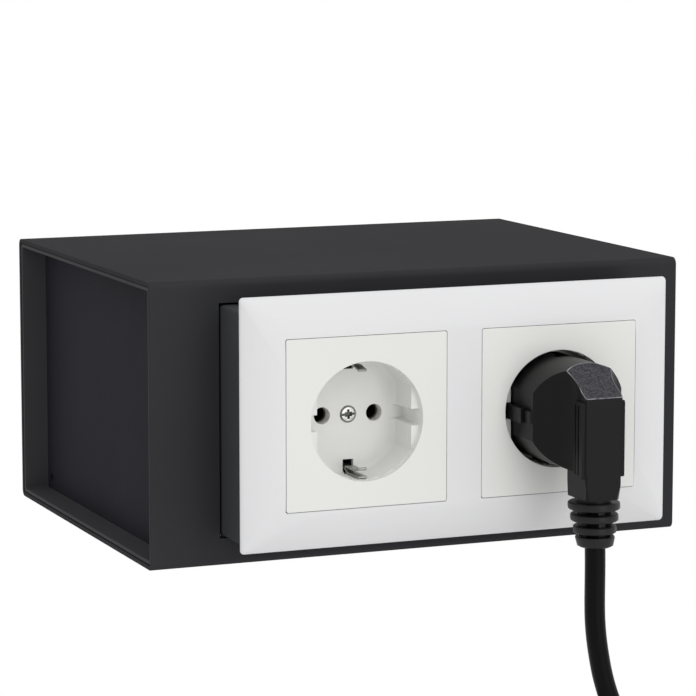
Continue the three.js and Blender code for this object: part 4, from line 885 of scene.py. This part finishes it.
for name, side, stood_for, end, angle in (
    ("lock_screw", "left", "lock_spindle", -133.6, 3),
    ("centre_screw", "right", "centre_screw_right", -149.9, 50),
):
    x = OUTLET_X[side]
    centre_screw = screw(name, x, COVER_Z, end=end, angle=angle, **CENTRE_SCREW)
    settled(centre_screw, stood_for, SCREW_STEEL)
    # painted shade: the slot and cross faces get the dark finish
    with_painted_slot_shade(centre_screw, x)
one_screw = screw("one_screw", 0, 0, radius=2.15, front=-174.45, head=1.3, shank_radius=1.65,
                  end=-166.85, angle=20, cross=False)
plate_screws = placed(
    "plate_screws", one_screw, (OUTLET_X["left"] - 20, 0, COVER_Z - 33.05), (40, 0, 66.1), 2,
    ZINC, (PITCH, 0, 0), 2,
)
stands_for(plate_screws, *[f"plate_screw_{end}_{side}" for end in ("lower", "upper")
                           for side in OUTLET_X])
report(plate_screws)

# %% [markdown]
# ## Pins and sleeves
# The plug's two pins end in a rounded nose. Each goes into a contact sleeve, a dark bronze cup
# with a slit along its side, so that it can grip the pin.

# %% Pins and sleeves
pin_profile = [(0.001, -166.1), (2.4, -166.1), (2.4, -145.9), (2.25, -145.2), (1.75, -144.8),
               (0.96, -144.6), (0.001, -144.6)]
pin = softened(turned("one_pin", pin_profile, (0, 0, 0), "y", 48), 0.1, 2, 35)
pins = placed("plug_pins", pin, (OUTLET_X["right"] - CONTACT_OFFSET, 0, COVER_Z),
              (2 * CONTACT_OFFSET, 0, 0), 2, NICKEL)
stands_for(pins, "plug_pin_left", "plug_pin_right")

sleeve_profile = [(2.6, -156.85), (2.85, -156.9), (3.4, -156.5), (3.4, -143.3), (0.001, -143.3),
                  (0.001, -144.15), (2.6, -144.15)]
sleeve = turned("one_sleeve", sleeve_profile, (0, 0, 0), "y", 40)
carve(sleeve, box("slit", -0.42, 0.42, -158, -146.7, 0, 4))
softened(sleeve, 0.06, 1, 35)
sleeves = placed("contact_sleeves", sleeve, (OUTLET_X["left"] - CONTACT_OFFSET, 0, COVER_Z),
                 (2 * CONTACT_OFFSET, 0, 0), 2, DARK_BRONZE, (PITCH, 0, 0), 2)
stands_for(sleeves, *[f"contact_sleeve_{end}_{side}" for end in "ab" for side in OUTLET_X])
report(pins, sleeves)

# %% [markdown]
# ## Earth clips
# An earth clip is a sprung strip: one finger lies on the well's wall, the other stands off it
# and ends in a small rolled lip. A strip is an outline made by stepping off to both sides of a
# bent line. The clips above and below are mirror images, so a sign turns one into the other.

# %% Earth clips
def strip(points, thickness):
    """The outline of a bent strip: the line stepped off to both sides."""
    line = [Vector((*p, 0)) for p in points]
    left, right = [], []
    for i, p in enumerate(line):
        along = (line[min(i + 1, len(line) - 1)] - line[max(i - 1, 0)]).normalized()
        step = Vector((-along.y, along.x, 0)) * thickness / 2
        left.append((p + step)[:2])
        right.append((p - step)[:2])
    return left + right[::-1]


def earth_clip(sign):
    wall = [(-151.9, 18.35), (-156, 18.35), (-161.6, 18.35), (-162.6, 18.5), (-163.6, 19.05),
            (-164.6, 19.5), (-166, 19.55), (-170, 19.55), (-174.5, 19.55)]
    sprung = [(-152.6, 18.1), (-156, 18.1), (-161.2, 18.1), (-163, 17.7), (-165.5, 17.6),
              (-168.5, 17.75), (-170.5, 17.6), (-172.2, 17.15), (-173.4, 16.85), (-174.3, 16.85)]

    def finger(name, points, half_width):
        smooth = smooth_through([Vector((a, b, 0)) for a, b in points], 4)
        outline = [(a, sign * b) for a, b in strip([(p.x, p.y) for p in smooth], 0.62)]
        return slab(name, outline, -half_width, half_width, "x")
    piece = finger("one_clip", wall, 1.6)
    fuse(piece, finger("sprung", sprung, 1.45))
    roll = [(a, sign * b) for a, b in arc(-174.1, 16.75, 0.5, 0, 337.5, 15)]
    fuse(piece, slab("roll", roll, -1.45, 1.45, "x"))
    return softened(piece, 0.05, 1, 40)


for label, sign in (("upper", 1), ("lower", -1)):
    clips = placed(f"earth_clips_{label}", earth_clip(sign), (OUTLET_X["left"], 0, COVER_Z),
                   (PITCH, 0, 0), 2, CLIP_STEEL)
    stands_for(clips, *[f"earth_clip_{label}_{side}" for side in OUTLET_X])
    report(clips)

# %% [markdown]
# ## The plug
# The plug is an angled one: its body is a round block, the lead leaves downwards from a narrow
# web in front, and the web is the pull handle of the drawer. A round bar and the outline seen
# from above are intersected, so the hollow flanks come out right from every side. A wedge cuts
# the slanted thumb facet, and the neck and the two grip pads are joined to the web.

# %% Shapes of the plug
PLUG_RADIUS, PLUG_FLAT = 18.5, 16.6
FACET_RUN, FACET_RISE, FACET_FOOT = 14.4, 9.9, COVER_Z + 8.6
NECK_HALF, NECK_DEPTH = 6.7, 14.5


def plug_plan(x):
    """The body seen from above: round at the back, with a hollow flank at each side."""
    def bow(side):
        a, b, c = [Vector(p) for p in ((PLUG_FLAT, PLUG_SHOULDER), (5.4, PLUG_SHOULDER - 7.2),
                                       (7.0, PLUG_SHOULDER - 16.7))]
        spots = []
        for t in (i / 16 for i in range(17)):
            p = (1 - t) ** 2 * a + 2 * t * (1 - t) * b + t * t * c
            spots.append((x + side * p.x, p.y))
        return spots + [(x + side * 6.9, PLUG_FRONT + 0.5), (x + side * 6.5, PLUG_FRONT)]
    return [(x + PLUG_FLAT, PLUG_BACK), (x - PLUG_FLAT, PLUG_BACK), *bow(-1), *bow(1)[::-1]]


def thumb_facet(x):
    """The wedge that is cut away above the web, hollowed very slightly for the thumb."""
    top = COVER_Z + 20.1
    edge = []
    for t in (i / 12 for i in range(13)):
        hollow = 0.35 * math.sin(math.pi * t)
        edge.append((PLUG_FRONT + FACET_RUN * t, FACET_FOOT + FACET_RISE * t - hollow))
    outline = [(PLUG_FRONT - 2, FACET_FOOT), *edge, (PLUG_FRONT + FACET_RUN + 2, top),
               (PLUG_FRONT - 2, top)]
    return slab("facet", outline, x - 19, x + 19, "x")


def plug_neck(x):
    left, right = x - NECK_HALF, x + NECK_HALF
    outline = [(left, COVER_Z), (left, COVER_Z - 18.5), (x - 6.1, COVER_Z - 26.1),
               (x + 6.1, COVER_Z - 26.1), (right, COVER_Z - 18.5), (right, COVER_Z)]
    neck = slab("neck", outline, PLUG_FRONT, PLUG_FRONT + NECK_DEPTH)
    plan = rounded(left, right, PLUG_FRONT, PLUG_FRONT + NECK_DEPTH, 0.9, 5)
    within(neck, slab("upright", plan, COVER_Z - 27, COVER_Z + 1, "z"))
    for side in (-1, 1):
        rings = []
        for drop, cut in ((12, -0.9), (27, 3.2)):
            corner = ((9, 0), (NECK_HALF - cut, -1), (9, 2.3 + cut * 0.5))
            rings.append([(x + side * a, PLUG_FRONT + b, COVER_Z - drop) for a, b in corner])
        carve(neck, lofted("corner", rings))
    return neck


def plug_grip(x, side):
    """A raised pad on the web's flank with two upright grooves."""
    inner, outer = x + side * 6.0, x + side * 7.95
    low, high = PLUG_FRONT + 0.6, PLUG_FRONT + 6.6
    pad = slab("grip", rounded(low, high, COVER_Z - 18.5, COVER_Z + 7.35, 0.8, 4),
               min(inner, outer), max(inner, outer), "x")
    for y, width in ((low + 2.3, 0.75), (low + 4.6, 0.6)):
        carve(pad, box("groove", x + side * 7.3, x + side * 9, y, y + width, COVER_Z - 17.4,
                       COVER_Z + 6.2))
    return pad


print("seen from above, the plug is drawn with", len(plug_plan(0)), "points")

# %% [markdown]
# ## The plug's stippled facet
# Only the facet is stippled, and its edges are painted light, which is a painted highlight. So
# the facet's faces are found by their place and direction and get a finish of their own, and the
# edges around them are rounded first, with a third, light finish on the rounding as painted
# highlight. The rest of the plug is rounded after that. The lugs at the sides run in the well's
# notches, and the earth notches lie above and below.

# %% Plug body
def stipple(piece):
    """Gives the facet its own finish, and a light one, a painted highlight, to the rounding around
    it.
    """
    with edited(piece.data) as shape:
        flattened(shape)
        facet = set()
        for face in shape.faces:
            c, facing = face.calc_center_median() / MM, face.normal
            if (c.z > FACET_FOOT and c.y < PLUG_FRONT + FACET_RUN
                    and abs(facing.x) < 0.2 and facing.z > 0.3 and facing.y < -0.3):
                face.material_index = 1
                facet.add(face)
        rim = {edge for face in facet for edge in face.edges
               if len(facet & set(edge.link_faces)) == 1}
        # painted highlight: the rounding around the facet gets the light edge finish
        bmesh.ops.bevel(shape, geom=list(rim), offset=0.22 * MM, segments=2, profile=0.5,
                        affect="EDGES", clamp_overlap=False, material=2)
    print("facet faces:", len(facet), "edges with painted highlight:", len(rim))


def plug_body():
    x, z = OUTLET_X["right"], COVER_Z
    piece = disc("mains_plug", PLUG_RADIUS, PLUG_FRONT - 1, PLUG_BACK, x, z, 128)
    within(piece, slab("plan", plug_plan(x), z - 20, z + 20, "z"))
    carve(piece, thumb_facet(x))
    fuse(piece, plug_neck(x),
         box("lug", x - 18.7, x + 18.7, -187.2, PLUG_BACK, z - 2.5, z + 2.5),
         box("lug_tip", x - 17.6, x + 17.6, PLUG_SHOULDER, -186.7, z - 2.05, z + 2.05))
    for side in (-1, 1):
        fuse(piece, plug_grip(x, side))
        pin_x, back = x + side * CONTACT_OFFSET, PLUG_BACK + 1
        carve(piece, disc("pin_hole", 2.7, -166.4, back, pin_x, z, 40),
              box("earth_notch", x - 3, x + 3, -181.6, back, z + side * EARTH_OFFSET,
                  z + side * 20))
    piece.data.materials.clear()
    for finish in (PLUG_BLACK, STIPPLED_BLACK, FACET_EDGE_PAINTED_HIGHLIGHT):
        piece.data.materials.append(finish)
    stipple(piece)
    softened(piece, 0.3, 3, 24)
    return stands_for(piece, "plug_body")


plug = plug_body()
report(plug)

# %% [markdown]
# ## The sheet metal and the hidden parts
# The casing, its end pans, the drawer and the small fittings are bent or cut from sheet, and
# the measured model already has their bends and holes. Their edges are only as sharp as a
# guillotine leaves them, so each gets a fine rounding that catches the light. The flanges that
# are folded out around an end pan's panel are painted a lighter grey than the panel, which is
# painted light.

# %% Sheet metal pieces
SHEETS = (
    (POWDER_COAT, 0.3, ["casing_sleeve"]),
    (PAN_COAT, 0.25, ["end_pan_left", "end_pan_right"]),
    (ZINC, 0.15, ["guide_rail_left", "guide_rail_right", "top_guide_left", "top_guide_right"]),
    (ZINC, 0.2, ["latch_keeper", "drawer_stop"]),
    (TRAY_COAT, 0.25, ["drawer_tray"]),
    (TRAY_COAT, 0.2, ["drawer_bulkhead"]),
    (ZINC, 0.15, ["support_plate_left", "support_plate_right"]),
    (BASE_GREY, 0.3, ["socket_base_left", "socket_base_right"]),
    (ZINC, 0.15, ["spindle_bush"]),
    (ZINC, 0.25, ["latch_arm", "spindle_nut"]),
    (NICKEL, 0.08, ["plug_earth_upper", "plug_earth_lower"]),
)
PANEL_BEND_X = 90.4


def paint_flange_light(pan):
    """Everything beyond the bend around the panel is painted lighter, which is painted light."""
    pan.data.materials.append(FLANGE_PAINTED_LIGHT)
    for face in pan.data.polygons:
        if abs(face.center.x) > PANEL_BEND_X * MM:
            face.material_index = 1


for finish, radius, labels in SHEETS:
    for label in labels:
        sheet = dressed(label, finish, radius)
        if finish == PAN_COAT:
            # painted light: the flanges get the lighter coat
            paint_flange_light(sheet)
        report(sheet)

# %% [markdown]
# ## Stage
# The object is shown before plain white. The floor lies below the coil. Floor and backdrop look
# white to the camera through their own material, so no lamp has to be turned up for them.

# %% Stage
FLOOR_Z = -750
STAGE_X, STAGE_Y = (-1800, 4200), (-1500, 4000)


def stage_material():
    made = bpy.data.materials.new("stage_white")
    made.use_nodes = True
    tree = made.node_tree
    tree.nodes.clear()
    ray = node(tree, "LightPath").outputs
    first = node(tree, "Math", {0: ray["Is Camera Ray"], 1: ray["Is Glossy Ray"]}, operation="ADD")
    both = node(tree, "Math", {0: first.outputs[0], 1: ray["Is Transmission Ray"]},
                operation="ADD", use_clamp=True)
    plain = node(tree, "BsdfDiffuse", {"Color": (0.8, 0.8, 0.8, 1)})
    glow = node(tree, "Emission", {"Color": (1, 1, 1, 1)})
    blend = node(tree, "MixShader", {0: both.outputs[0], 1: plain.outputs[0], 2: glow.outputs[0]})
    node(tree, "OutputMaterial", {"Surface": blend.outputs[0]})
    return made


STAGE_WHITE = stage_material()
floor = box("floor", *STAGE_X, *STAGE_Y, FLOOR_Z - 10, FLOOR_Z)
backdrop = box("backdrop", *STAGE_X, STAGE_Y[1], STAGE_Y[1] + 10, FLOOR_Z - 10, 300)
for piece in (floor, backdrop):
    piece.data.materials.append(STAGE_WHITE)
    piece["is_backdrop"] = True
    print(piece.name, [round(v, 2) for v in piece.dimensions], "m")

# %% [markdown]
# ## Light
# A pale world lights the object from all sides, at a level at which a colour renders about as
# it is written. A large soft lamp above, in front and a little to the right gives the cover's
# crown its tone and the wells and the plug their shadows. A smaller one, low in front, lightens
# the undersides.

# %% Light
WORLD_STRENGTH = 0.77
AIM = (0, -0.12, 0)
world = bpy.data.worlds.new("pale_room")
bpy.context.scene.world = world
world.use_nodes = True
backing = world.node_tree.nodes["Background"]
backing.inputs["Color"].default_value = (1, 1, 1, 1)
backing.inputs["Strength"].default_value = WORLD_STRENGTH


def area_lamp(name, place, size, power):
    data = bpy.data.lights.new(name, "AREA")
    data.size = size
    data.energy = power
    lamp = shown(name, data)
    lamp.location = place
    lamp.rotation_euler = (Vector(AIM) - Vector(place)).to_track_quat("-Z", "Y").to_euler()
    return lamp


key = area_lamp("key_light", (0.3, -1.6, 1.9), 2.4, 13)
fill = area_lamp("fill_light", (0.5, -2.1, -0.1), 0.8, 5)
for lamp in (key, fill):
    print(lamp.name, "at", [round(v, 2) for v in lamp.location])

# %% [markdown]
# ## Sizes of the dressed object
# The box around the dressed object is measured and written down beside that of the measured
# model, so that a piece that grew or went missing would show.

# %% Sizes of the dressed object
dressed_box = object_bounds()
for label, (low, high) in (("model", model_box), ("dressed", dressed_box)):
    print(label, [round((b - a) / MM, 1) for a, b in zip(low, high)])
